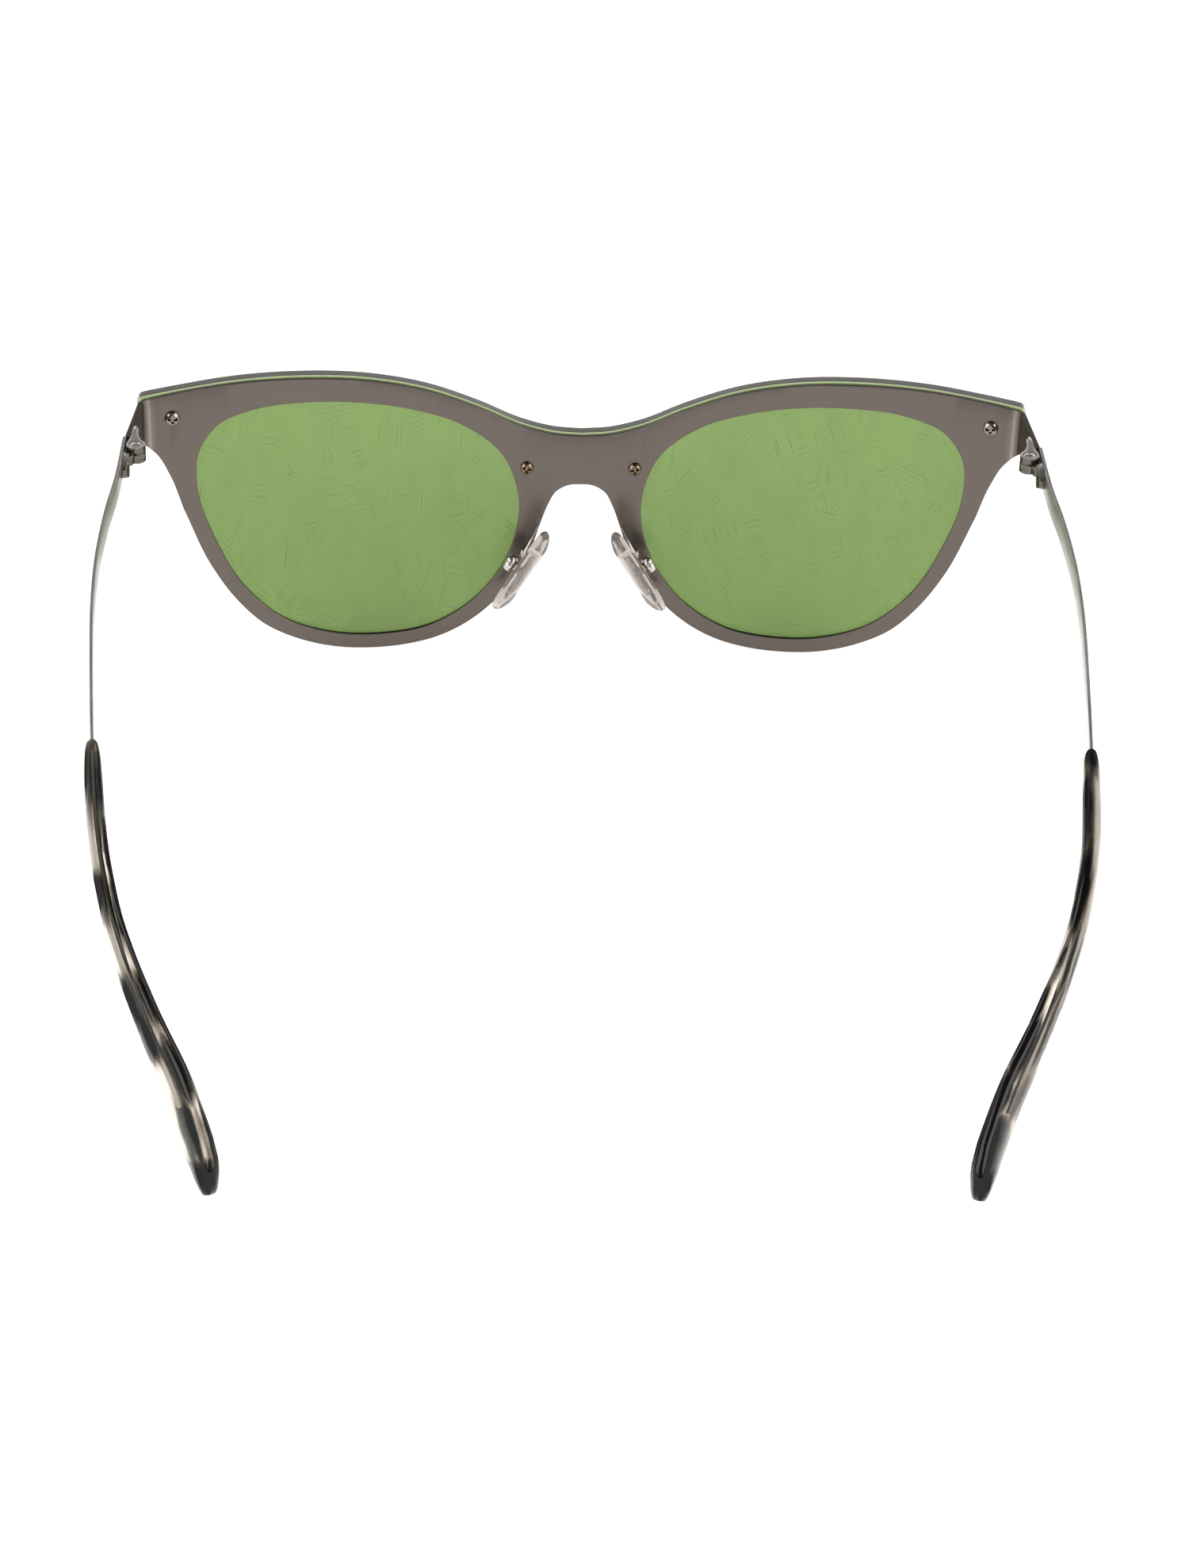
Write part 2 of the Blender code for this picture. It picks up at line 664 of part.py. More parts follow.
def build_tip(side_name, side, pivot):
    stops = [TIP_MOUTH, 76.5, 78.5, 81, 85, 89, 93, 96, 99, 102, 105, 108, 111, 114, 117, 121, 125, 129, 133]
    rings = [tip_ring(s, side) for s in stops]
    rounding = 5.0
    for k in range(1, 9):
        angle = math.pi / 2 * k / 8.4
        s = TIP_END - rounding + rounding * math.sin(angle)
        rings.append(tip_ring(s, side, math.cos(angle)))
    body = add_object(f"temple_tip_{side_name}", loft(rings), HORN, pivot)
    slot = loft([strip_ring(s, side, TIP_CLEARANCE) for s in CORE_STOPS + [CORE_END + 0.4]])
    combine(body, helper(f"tip_slot_{side_name}", slot, pivot), "DIFFERENCE")


# ---------------------------------------------------------------- nose pads


def pad_matrix(side):
    """X along the pad, Y across it, Z towards the nose."""
    across = PAD_FACE.cross(PAD_LONG).normalized()
    face = PAD_LONG.cross(across).normalized()
    axes = [mirrored(a, side) for a in (PAD_LONG, across, face)]
    turn = Matrix(axes).transposed()
    return Matrix.Translation(mirrored(PAD_CENTRE, side)) @ turn.to_4x4()


def pad_ring(inset, height, place, count=28):
    ring = []
    for k in range(count):
        angle = 2 * math.pi * (k + 0.5) / count
        c, s = math.cos(angle), math.sin(angle)
        x = math.copysign(abs(c) ** 0.96, c) * (PAD_LENGTH / 2 - inset)
        y = math.copysign(abs(s) ** 0.96, s) * (PAD_WIDTH / 2 - inset) * (1 + 0.1 * x / PAD_LENGTH)
        ring.append(place @ Vector((x, y, height)))
    return ring


def build_nose_pad(side_name, side):
    place = pad_matrix(side)
    axis_point = place @ Vector((0, 0, -2.35))
    half = PAD_THICK / 2
    levels = ((1.5, -half), (0.5, -half + 0.14), (0.08, -half + 0.5), (0.0, -half + 0.8))
    levels += ((0.15, half - 1.2), (0.6, half - 0.75), (1.3, half - 0.38), (2.0, half - 0.14), (2.6, half))
    pad = add_object(
        f"nose_pad_{side_name}", loft([pad_ring(i, h, place) for i, h in levels]), SILICONE, axis_point
    )
    recess = block((7.3, 2.7, 1.6), place @ Matrix.Translation((0, 0, -half + 0.55)))
    combine(pad, helper(f"nose_pad_recess_{side_name}", recess, axis_point), "DIFFERENCE")

    insert = softened(block((7.1, 2.5, 0.5), place @ Matrix.Translation((0, 0, -0.15))), 0.1)
    core = add_object(f"nose_pad_core_{side_name}", insert, CORE, axis_point)
    post = block((1.1, 0.9, 2.6), place @ Matrix.Translation((0, 0, -1.6)))
    combine(core, helper(f"nose_pad_post_{side_name}", post, axis_point), "UNION")
    across = place @ Matrix.Translation((0, 0, -2.35)) @ Matrix.Rotation(-math.pi / 2, 4, "X")
    eye = turned(((0.38, -2.0), (0.38, 2.0)), across, 14)
    combine(core, helper(f"nose_pad_eye_{side_name}", eye, axis_point), "DIFFERENCE")

    case = block((2.6, 2.3, 1.75), place @ Matrix.Translation((0, 0, -2.42)))
    box = add_object(f"nose_pad_box_{side_name}", softened(case, 0.22, 2), NICKEL)
    cavity = block((1.75, 1.15, 2.0), place @ Matrix.Translation((0, 0, -2.05)))
    combine(box, helper(f"nose_pad_cavity_{side_name}", cavity), "DIFFERENCE")
    through = turned(((0.36, -2.0), (0.36, 2.0)), across, 14)
    combine(box, helper(f"nose_pad_through_{side_name}", through), "DIFFERENCE")

    head_side = across @ Matrix.Translation((0, 0, 1.2)) @ Matrix.Rotation(math.pi, 4, "X")
    screw(f"nose_pad_screw_{side_name}", NICKEL, 0.62, 0.42, 0.3, 2.3, head_side, Vector(), 0.5)


def build_pad_arm(side_name, side):
    """A blade on the plate's rear face by the nose, leaning outwards to reach the box."""
    root = Vector((6.75, 20.9, -0.05))
    down = Vector((0.363, -0.932, 0.0))
    back = Vector((0.3, 0.0, -0.954)).normalized()
    thick = down.cross(back).normalized() * 0.25
    outline = ((0, 0), (5.2, 0), (4.9, 1.6), (4.4, 3.3), (3.8, 4.35), (2.6, 4.35), (2.2, 3.0), (1.2, 1.2))
    rings = []
    for way in (-1, 1):
        ring = []
        for s, q in outline:
            p = root + down * s + back * q + thick * way
            ring.append(on_front(side * p.x, p.y, min(p.z, -0.05)))
        rings.append(ring)
    add_object(f"nose_pad_arm_{side_name}", loft(rings), NICKEL)


clear_scene()
PARTS = new_collection("cat_eye_sunglasses")
HELPERS = new_collection("cutters", hidden=True)

STEEL = material("front_plate_steel", (0.18, 0.15, 0.135), 1.0, 0.34)
TEMPLE_STEEL = material("temple_steel", (0.62, 0.6, 0.56), 1.0, 0.25)
LENS = material("green_lens", (0.2, 0.36, 0.09), 0.0, 0.05, 0.8)
NICKEL = material("nickel_screw", (0.66, 0.64, 0.6), 1.0, 0.15)
BRONZE = material("warm_screw", (0.5, 0.42, 0.32), 1.0, 0.2)
GUNMETAL = material("hinge_gunmetal", (0.24, 0.22, 0.2), 1.0, 0.3)
HORN = material("horn_acetate", (0.06, 0.05, 0.045), 0.0, 0.1)
SILICONE = material("clear_pad", (0.8, 0.76, 0.7), 0.0, 0.1, 0.85)
CORE = material("pad_core", (0.3, 0.27, 0.24), 1.0, 0.3)
CLEAR = material("clear_bushing", (0.85, 0.85, 0.8), 0.0, 0.2, 0.6)

build_front_plate()
build_lens()
build_lens_fixings()
for side_name, side in SIDES:
    hinge_point = Vector((side * HINGE_X, HINGE_Y, HINGE_TOP - 1.5))
    hinge_pivot = axis_empty(f"hinge_axis_{side_name}", hinge_point, side * SPLAY[side_name])
    build_hinge_front(side_name, side)
    build_hinge_temple(side_name, side, hinge_pivot)
    build_hinge_screw(side_name, side)
    build_temple(side_name, side, hinge_pivot)
    build_tip(side_name, side, hinge_pivot)
    build_nose_pad(side_name, side)
    build_pad_arm(side_name, side)
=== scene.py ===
"""The looks of the cat eye sunglasses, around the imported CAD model.

Lengths in the shape code are millimetres in the CAD source's own layout, and SHIFT takes
them to the frame.
"""

import json
import math

import bmesh
import bpy
from mathutils import Matrix, Vector


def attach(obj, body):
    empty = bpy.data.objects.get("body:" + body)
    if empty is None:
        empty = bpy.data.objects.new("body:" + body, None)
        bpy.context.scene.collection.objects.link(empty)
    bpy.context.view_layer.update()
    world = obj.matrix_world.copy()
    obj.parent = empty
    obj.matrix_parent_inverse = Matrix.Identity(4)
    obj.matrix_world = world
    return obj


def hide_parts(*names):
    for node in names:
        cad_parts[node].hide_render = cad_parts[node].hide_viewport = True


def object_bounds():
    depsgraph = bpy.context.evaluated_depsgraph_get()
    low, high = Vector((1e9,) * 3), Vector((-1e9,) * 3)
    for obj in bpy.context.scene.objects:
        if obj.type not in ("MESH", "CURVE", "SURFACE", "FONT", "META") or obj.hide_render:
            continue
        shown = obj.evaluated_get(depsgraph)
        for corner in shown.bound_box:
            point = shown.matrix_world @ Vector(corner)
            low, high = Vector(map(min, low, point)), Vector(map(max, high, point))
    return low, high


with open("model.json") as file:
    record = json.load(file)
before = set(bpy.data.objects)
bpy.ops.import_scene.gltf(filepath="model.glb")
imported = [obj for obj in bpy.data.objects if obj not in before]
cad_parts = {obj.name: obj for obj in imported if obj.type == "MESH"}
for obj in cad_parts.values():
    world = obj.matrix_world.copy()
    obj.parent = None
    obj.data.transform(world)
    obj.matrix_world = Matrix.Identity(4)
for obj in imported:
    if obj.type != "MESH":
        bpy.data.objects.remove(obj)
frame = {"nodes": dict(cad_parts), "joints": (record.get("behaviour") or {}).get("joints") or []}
CAD_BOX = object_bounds()

MM = 0.001
SIDES = (("right", 1), ("left", -1))

# ------------------------------------------------ sizes shared with the CAD source

LEAN = math.radians(5.0)
BASE_RADIUS = 400.0
SHEET = 0.7
BEND_START = 66.8
BEND_RADIUS = 1.2
BEND_ANGLE = math.radians(73.6)
ENDPIECE_END = 78.3
LENS_BACK = 0.8
LENS_THICK = 2.6
LENS_FIXINGS = (("outer", 63.3, 40.6, 1.15), ("inner", 8.45, 30.8, 1.0))
LENS_SHANK = 0.6
LENS_BUSH = 1.0
HINGE_X = 67.45
HINGE_Y = -14.55
HINGE_TOP = 43.5
HINGE_HALF = 1.75
PIN_RADIUS = 0.56
TEMPLE_START = -12.4
TEMPLE_TOP_Z = 43.7
TEMPLE_SLOPE = math.radians(4.0)
TEMPLE_THICK = 0.5
TEMPLE_TALL = 3.8
EAR_BEND_START = -99.0
EAR_BEND_RADIUS = 30.0
EAR_BEND_END = math.radians(55)
TIP_MOUTH = 74.4
TIP_END = 141.07
CORE_END = 129.5
SPLAY = {"right": math.radians(0.5), "left": 0.0}
PAD_CENTRE = Vector((8.9, -4.3, 15.9))
PAD_LONG = Vector((0.52, -0.093, -0.85)).normalized()
PAD_FACE = Vector((-0.78, -0.35, -0.51)).normalized()
PAD_LENGTH = 15.4
PAD_WIDTH = 7.2
PAD_THICK = 2.4

# The right hinge's place in the record fixes where that layout lies in the frame.
FOLD = next(j for j in frame["joints"] if j["name"] == "temple_right_fold")
SHIFT = Vector(FOLD["pos_m"]) / MM - Vector((HINGE_X, HINGE_Y, HINGE_TOP - HINGE_HALF))

# Outlines on the sheet, as (u, v), for the wearer's right half.
TOP_EDGE = (
    (0, 36.2), (4, 36.5), (9, 37.78), (16, 40.9), (24, 43.85), (33, 45.65), (43, 46.25),
    (54, 45.85), (62, 44.85), (67, 43.9),
)
ENDPIECE_TOP = ((67, 43.9), (69, 43.62), (73, 43.05))
ENDPIECE_LOW = ((73, 38.3), (70.5, 37.6), (68, 36.5), (66, 34.8), (64, 31.1), (62, 25.1))
OUTER_EDGE = (
    (62, 25.1), (58, 15.2), (54, 8.85), (50, 4.65), (44, 1.45), (38, -0.05), (33, -0.35),
    (27, 0.2), (22, 1.55), (18, 3.65), (14, 6.95), (10.6, 10.9), (8.2, 15.2), (6.2, 21.2),
)
NOSE_EDGE = ((6.2, 21.2), (5.1, 24.3), (3.7, 26.8), (1.8, 27.85), (0, 28.0))
OPENING = (
    (9.6, 24.5), (11.25, 15.9), (16.2, 8.4), (23.4, 3.6), (31.4, 2.1), (39.2, 2.6), (46.7, 5.4),
    (52.75, 11.2), (57.0, 19.2), (59.75, 28.9), (59.4, 34.6), (56.3, 39.1), (50.5, 41.45),
    (42.4, 42.3), (34.0, 42.0), (26.2, 40.7), (18.15, 37.85), (12.3, 33.0),
)
LENS_TOP = (
    (0, 36.4), (4, 36.7), (9, 38.0), (16, 41.15), (24, 44.1), (33, 45.9), (43, 46.5),
    (54, 46.05), (62, 45.0), (66.6, 44.3),
)
LENS_CORNER = ((66.6, 44.3), (67.95, 43.9), (68.5, 42.8))
LENS_SIDE = ((68.5, 42.8), (67.9, 40.2), (66.2, 36.3), (64.0, 31.6), (61.7, 25.2))
LENS_LOW = (
    (61.7, 25.2), (57.7, 15.4), (53.8, 9.15), (49.9, 5.0), (44, 1.75), (38, 0.2), (33, -0.05),
    (27, 0.5), (22, 1.85), (18, 3.95), (14.15, 7.2), (10.8, 11.05), (8.45, 15.3), (6.5, 21.2),
)
LENS_NOSE = ((6.5, 21.2), (5.4, 24.4), (3.9, 27.05), (1.9, 28.15), (0, 28.3))

# The lens's rim from its rear face to its front face: (how far in, how far forward)
LENS_RIM = (
    (0.15, 0.0), (0.0, 0.15), (0.0, 1.7), (0.02, 2.0), (0.06, 2.24), (0.13, 2.42), (0.24, 2.54),
    (0.4, LENS_THICK),
)

# The temple from above, as (y, x).
TEMPLE_PLAN = (
    (-12.4, 69.35), (-23, 69.7), (-32, 70.45), (-43, 70.85), (-54, 70.55), (-66, 69.65),
    (-88, 67.55), (-102, 65.9), (-108, 64.9), (-112, 63.95), (-116.4, 62.55), (-120.3, 60.6),
    (-123.5, 58.4), (-126, 56.5), (-129, 54.1), (-132, 52.1), (-135.2, 50.35), (-139, 49.2),
)
# Sizes along the temple, as (how far along, size).
STRIP_TALL = ((0, 3.8), (20, 3.8), (75, 2.7), (84, 2.1), (110, 1.6), (CORE_END, 1.2))
TIP_THICK = (
    (TIP_MOUTH, 1.6), (75.4, 1.95), (77.4, 2.2), (82, 2.4), (88, 2.5), (100, 2.5), (110, 2.4),
    (118, 2.4), (128, 2.85), (135, 3.15), (TIP_END, 3.2),
)
TIP_TALL = (
    (TIP_MOUTH, 3.2), (76.5, 3.6), (80, 4.1), (90, 4.6), (105, 5.1), (118, 6.4), (128, 8.0),
    (135, 8.7), (TIP_END, 9.0),
)
TIP_ROUNDING = 5.0
TIP_AROUND = 48

# The nose pad's edge, from its rear to the face that meets the nose: (how far in, height above
# the rear) and then (how far in, depth below the face).
PAD_UNDER = ((1.5, 0.0), (0.5, 0.14), (0.08, 0.5), (0.0, 0.8))
PAD_OVER = ((0.15, 1.2), (0.6, 0.75), (1.3, 0.38), (2.0, 0.14), (2.6, 0.0))
PAD_AROUND = 72


# ------------------------------------------------ material tools


def fill_ramp(node, stops):
    """Sets a colour ramp's stops, each a place and a colour."""
    elements = node.color_ramp.elements
    while len(elements) < len(stops):
        elements.new(0.5)
    for element, (at, colour) in zip(elements, stops):
        element.position = at
        element.color = (*colour, 1.0)


class Look:
    """A material and short ways to add and join its nodes."""

    def __init__(self, name, **shader_values):
        self.material = bpy.data.materials.new(name)
        self.material.use_nodes = True
        self.tree = self.material.node_tree
        self.shader = self.tree.nodes["Principled BSDF"]
        self.output = self.tree.nodes["Material Output"]
        for socket, value in shader_values.items():
            self.shader.inputs[socket.replace("_", " ")].default_value = value
        self.place = self.node("ShaderNodeTexCoord").outputs["Object"]

    def node(self, kind, values=None, **settings):
        made = self.tree.nodes.new(kind)
        for name, value in settings.items():
            setattr(made, name, value)
        for key, value in (values or {}).items():
            if isinstance(value, bpy.types.NodeSocket):
                self.tree.links.new(value, made.inputs[key])
            else:
                made.inputs[key].default_value = value
        return made

    def set(self, **links):
        for socket, value in links.items():
            self.tree.links.new(value, self.shader.inputs[socket.replace("_", " ")])

    def stretched(self, scale, turn=(0, 0, 0), source=None):
        values = {"Vector": source or self.place, "Scale": scale, "Rotation": turn}
        return self.node("ShaderNodeMapping", values).outputs["Vector"]

    def noise(self, scale=1.0, detail=2.0, rough=0.5, source=None, distortion=0.0):
        values = {"Vector": source or self.place, "Scale": scale, "Detail": detail}
        values.update({"Roughness": rough, "Distortion": distortion})
        return self.node("ShaderNodeTexNoise", values).outputs["Fac"]

    def ramp(self, fac, stops):
        made = self.node("ShaderNodeValToRGB", {"Fac": fac})
        fill_ramp(made, stops)
        return made.outputs["Color"]

    def mapped(self, value, low, high, out_low=0.0, out_high=1.0, smooth=False):
        values = {"Value": value, "From Min": low, "From Max": high}
        values.update({"To Min": out_low, "To Max": out_high})
        kind = "SMOOTHSTEP" if smooth else "LINEAR"
        return self.node("ShaderNodeMapRange", values, interpolation_type=kind).outputs["Result"]

    def sums(self, operation, a, b):
        return self.node("ShaderNodeMath", {0: a, 1: b}, operation=operation).outputs[0]

    def mixed(self, fac, a, b, blend="MIX"):
        made = self.node("ShaderNodeMix", data_type="RGBA", blend_type=blend)
        for key, value in ((0, fac), (6, a), (7, b)):
            if isinstance(value, bpy.types.NodeSocket):
                self.tree.links.new(value, made.inputs[key])
            elif key == 0:
                made.inputs[key].default_value = value
            else:
                made.inputs[key].default_value = (*value, 1.0)
        return made.outputs[2]

    def bump(self, height, strength, distance):
        values = {"Height": height, "Strength": strength, "Distance": distance}
        made = self.node("ShaderNodeBump", values)
        self.tree.links.new(made.outputs["Normal"], self.shader.inputs["Normal"])

    def absorb(self, colour, density):
        """Tints what passes through, more deeply where the solid is thicker."""
        made = self.node("ShaderNodeVolumeAbsorption")
        made.inputs["Color"].default_value = (*colour, 1.0)
        made.inputs["Density"].default_value = density
        self.tree.links.new(made.outputs["Volume"], self.output.inputs["Volume"])

    def surface(self, fac, first, second):
        """Shows two shaders, the second as far as fac says."""
        joined = self.node("ShaderNodeMixShader", {0: fac, 1: first, 2: second})
        self.tree.links.new(joined.outputs["Shader"], self.output.inputs["Surface"])


# How high the metal's grain and the horn's ripples stand, and the lens's scratches, in metres.
GRAIN_RISE = 0.00002
SCRATCH_RISE = 0.00003


def metal(name, colour, rough, grain, grain_depth, clouds, spread, painted_bend_highlight=None, painted_top_light=None):
    """Worked metal: fine directional grain, cloudy handling marks and small changes of colour.

    Where the mesh's layer marks it, the metal is lightened to a given colour, a painted
    highlight. Its upward faces are lightened to another given colour, painted light from above.
    """
    look = Look(name, Metallic=1.0, Roughness=rough)
    fine = look.noise(1.0, 3.0, 0.6, look.stretched(grain))
    cloud = look.noise(140.0, 4.0, 0.55)
    broad = look.noise(32.0, 2.0, 0.5)
    darker = tuple(c * (1 - clouds) for c in colour)
    lighter = tuple(min(c * (1 + clouds), 1.0) for c in colour)
    tone = look.mixed(look.mapped(cloud, 0.3, 0.7), darker, lighter)
    tone = look.mixed(look.mapped(broad, 0.35, 0.65, 0.0, 0.5), tone, colour)
    grainy = look.mapped(fine, 0.25, 0.75, 1 - clouds * 0.8, 1 + clouds * 0.5)
    shade = look.node("ShaderNodeCombineColor", {0: grainy, 1: grainy, 2: grainy}).outputs[0]
    # Painted highlight: where the layer marks the start of a bend, the colour is lightened.
    if painted_bend_highlight:
        bright = look.node("ShaderNodeAttribute", attribute_name="painted_bend_highlight").outputs["Fac"]
        tone = look.mixed(bright, tone, painted_bend_highlight)
    # Painted light: faces turned upward are lightened, as if lit from above.
    if painted_top_light:
        normal = look.node("ShaderNodeTexCoord").outputs["Normal"]
        rise = look.node("ShaderNodeSeparateXYZ", {0: normal}).outputs[2]
        tone = look.mixed(look.mapped(rise, 0.55, 0.97), tone, painted_top_light)
    look.set(Base_Color=look.mixed(1.0, tone, shade, "MULTIPLY"))
    handled = look.mapped(cloud, 0.3, 0.7, rough - spread, rough + spread)
    worked = look.mapped(fine, 0.3, 0.7, -spread * 0.6, spread * 0.6)
    look.set(Roughness=look.sums("ADD", handled, worked))
    look.bump(fine, grain_depth, GRAIN_RISE)
    return look.material


def scratches(look, turns, length, width, share):
    """A mask of thin lines, in the directions that turns gives in degrees.

    They are long cells, length by width in metres. A share of the cells is kept, and only the
    middle of each.
    """
    edge = 0.17
    split = look.node("ShaderNodeSeparateXYZ", {0: look.place})
    sway = look.mapped(look.noise(55.0, 2.0), 0.0, 1.0, -0.0003, 0.0003)
    height = look.sums("ADD", split.outputs[2], sway)
    flat = look.node("ShaderNodeCombineXYZ", {0: split.outputs[0], 1: height}).outputs[0]
    total = None
    for turn in turns:
        values = {"Vector": flat, "Scale": (length, width, 1.0)}
        values["Rotation"] = (0, 0, math.radians(turn))
        source = look.node("ShaderNodeMapping", values, vector_type="TEXTURE").outputs["Vector"]
        values = {"Vector": source, "Scale": 1.0}
        cell = look.node("ShaderNodeTexVoronoi", values, voronoi_dimensions="2D")
        lot = look.node("ShaderNodeSeparateXYZ", {0: cell.outputs["Color"]})
        kept = look.sums("LESS_THAN", lot.outputs[0], share)
        strength = look.mapped(lot.outputs[1], 0.0, 1.0, 0.35, 1.0)
        line = look.mapped(cell.outputs["Distance"], edge * 0.5, edge, 1.0, 0.0)
        line = look.sums("MULTIPLY", line, look.sums("MULTIPLY", kept, strength))
        total = line if total is None else look.sums("MAXIMUM", total, line)
    return total


def lens_look():
    """Green tinted glass with fine scratches, specks and a smeared film, ground at its rim."""
    look = Look("green_lens_glass", Roughness=0.012, IOR=1.5, Transmission_Weight=1.0)
    look.shader.inputs["Base Color"].default_value = (1.0, 1.0, 1.0, 1.0)
    look.shader.inputs["Specular Tint"].default_value = (0.62, 0.6, 0.4, 1.0)
    look.absorb((0.365, 0.51, 0.13), 1130.0)
    long_marks = scratches(look, (8, 37, 71, -24, -58), 0.034, 0.00042, 0.05)
    short_marks = scratches(look, (20, 52, 85, -12, -41, -70), 0.011, 0.0004, 0.04)
    specks = look.node("ShaderNodeTexVoronoi", {"Scale": 420.0}, feature="F1")
    speck = look.mapped(specks.outputs["Distance"], 0.05, 0.12, 1.0, 0.0)
    speck = look.sums("MULTIPLY", speck, look.mapped(look.noise(95.0, 0.0), 0.60, 0.66))
    smear = look.noise(1.0, 5.0, 0.62, look.stretched((150, 150, 60), (0, 0.5, 0)), 0.6)
    long_marks = look.sums("MULTIPLY", long_marks, 0.36)
    short_marks = look.sums("MULTIPLY", short_marks, 0.5)
    marks = look.sums("MAXIMUM", long_marks, short_marks)
    marks = look.sums("MAXIMUM", marks, look.sums("MULTIPLY", speck, 0.6))
    film = look.mapped(smear, 0.42, 0.75, 0.0, 0.09)
    veil = look.sums("MINIMUM", look.sums("ADD", look.sums("MULTIPLY", marks, 0.7), film), 0.75)
    ground = look.node("ShaderNodeAttribute", attribute_name="ground").outputs["Fac"]
    veil = look.sums("MAXIMUM", veil, look.sums("MULTIPLY", ground, 0.85))
    colour = look.mixed(marks, (0.24, 0.33, 0.14), (0.04, 0.07, 0.02))
    colour = look.mixed(ground, colour, (0.40, 0.43, 0.29))
    dust = look.node("ShaderNodeBsdfDiffuse", {"Color": colour, "Roughness": 0.6})
    look.surface(veil, look.shader.outputs["BSDF"], dust.outputs["BSDF"])
    look.set(Roughness=look.mapped(smear, 0.4, 0.7, 0.004, 0.045))
    look.bump(marks, 0.25, SCRATCH_RISE)
    return look.material


def clear_look(name, colour, rough, ior, tint, density, through=1.0):
    """Clear plastic, tinted in its depth and a little uneven on its surface."""
    look = Look(name, IOR=ior, Transmission_Weight=through)
    tone = look.noise(260.0, 3.0, 0.55)
    darker = tuple(c * 0.93 for c in colour)
    look.set(Base_Color=look.mixed(look.mapped(tone, 0.35, 0.65), darker, colour))
    look.set(Roughness=look.mapped(tone, 0.3, 0.7, rough * 0.5, rough * 1.5))
    look.absorb(tint, density)
    return look.material


def horn_look(name, blobs):
    """Clouded horn: clear smoky resin with black drifting through it along the tip.

    A blob is (mm along, place across from -1 inside to 1 outside, half length in mm, half
    width, strength).
    """
    ink = (0.002, 0.0015, 0.001)
    look = Look(name, IOR=1.25, Transmission_Weight=1.0)
    run = look.node("ShaderNodeUVMap", uv_map="run").outputs["UV"]
    drift = look.noise(1.0, 3.0, 0.55, look.stretched((0.2, 1.1, 1.0), source=run))
    wander = look.noise(170.0, 2.0, 0.5)
    split = look.node("ShaderNodeSeparateXYZ", {0: run})
    along = look.sums("ADD", split.outputs[0], look.mapped(drift, 0.0, 1.0, -2.5, 2.5))
    across = look.sums("ADD", split.outputs[1], look.mapped(wander, 0.0, 1.0, -0.2, 0.2))
    dark = None
    for place, offset, half_length, half_width, strength in blobs:
        a = look.sums("DIVIDE", look.sums("SUBTRACT", along, place), half_length)
        b = look.sums("DIVIDE", look.sums("SUBTRACT", across, offset), half_width)
        both = look.node("ShaderNodeCombineXYZ", {0: a, 1: b}).outputs[0]
        far = look.node("ShaderNodeVectorMath", {0: both}, operation="LENGTH").outputs["Value"]
        blob = look.mapped(far, 0.35, 1.4, strength, 0.0, smooth=True)
        dark = blob if dark is None else look.sums("MAXIMUM", dark, blob)
    streak = look.noise(1.0, 4.0, 0.6, look.stretched((0.08, 3.6, 1.0), source=run))
    dark = look.sums("ADD", dark, look.mapped(streak, 0.3, 0.7, -0.12, 0.2))
    stops = (
        (0.0, (0.62, 0.58, 0.515)),
        (0.2, (0.42, 0.375, 0.31)),
        (0.48, (0.12, 0.092, 0.064)),
        (0.7, (0.02, 0.015, 0.011)),
        (0.92, ink),
    )
    tone = look.ramp(dark, stops)
    look.set(Base_Color=tone)
    look.set(Roughness=look.mapped(streak, 0.3, 0.7, 0.03, 0.10))
    values = {"Color": look.mixed(0.5, tone, ink)}
    body = look.node("ShaderNodeBsdfDiffuse", values).outputs[0]
    values = {"Color": (0.9, 0.92, 0.95, 1.0), "Roughness": 0.09}
    sheen = look.node("ShaderNodeBsdfGlossy", values).outputs[0]
    black = look.node("ShaderNodeMixShader", {0: 0.018, 1: body, 2: sheen}).outputs[0]
    look.surface(look.mapped(dark, 0.38, 0.95), look.shader.outputs["BSDF"], black)
    look.bump(look.noise(420.0, 3.0, 0.5), 0.05, GRAIN_RISE)
    return look.material


# Where the black lies in each tip.
HORN = {}
HORN["left"] = (
    (80, 0.85, 9.0, 0.45, 1.0),
    (83, -0.75, 11, 0.5, 0.85),
    (97, -0.9, 9, 0.4, 1.0),
    (101.5, 0.8, 4.0, 0.6, 1.0),
    (105.5, -0.8, 6.5, 0.5, 1.0),
    (110, -0.9, 5, 0.35, 1.0),
    (116, 0.7, 4.2, 0.55, 1.0),
    (118, -0.45, 6, 0.4, 0.45),
    (120, 0.35, 4.0, 0.4, 1.0),
    (121, -0.95, 12, 0.22, 0.85),
    (125, -0.45, 5.0, 0.35, 1.0),
    (132.5, -0.1, 4.8, 0.32, 1.0),
    (133, -0.6, 5.0, 0.3, 0.42),
    (134, -0.98, 6, 0.25, 0.85),
    (138.6, 0.0, 3.2, 1.0, 1.0),
)
HORN["right"] = (
    (76, 0.0, 4.2, 1.3, 0.9),
    (87, -0.65, 9, 0.55, 0.95),
    (99.5, -0.3, 6.5, 0.8, 1.0),
    (104, -0.5, 3.5, 0.5, 1.0),
    (110, 0.05, 6.0, 0.26, 0.9),
    (110, 0.65, 5.0, 0.15, 0.7),
    (116, -0.9, 3.5, 0.35, 1.0),
    (121, -0.65, 5.5, 0.55, 1.0),
    (118, 0.3, 8, 0.2, 0.7),
    (127.5, -0.7, 4.5, 0.5, 1.0),
    (127, 0.4, 4.5, 0.35, 0.55),
    (131, -0.85, 9.0, 0.45, 1.0),
    (134, -0.45, 4.8, 0.85, 1.0),
    (138.6, -0.15, 3.3, 0.95, 1.0),
)

# How fine a metal's grain is, per metre along X, Y and Z.
COARSE = (900, 900, 900)
POLISHED = (1500, 1500, 1500)
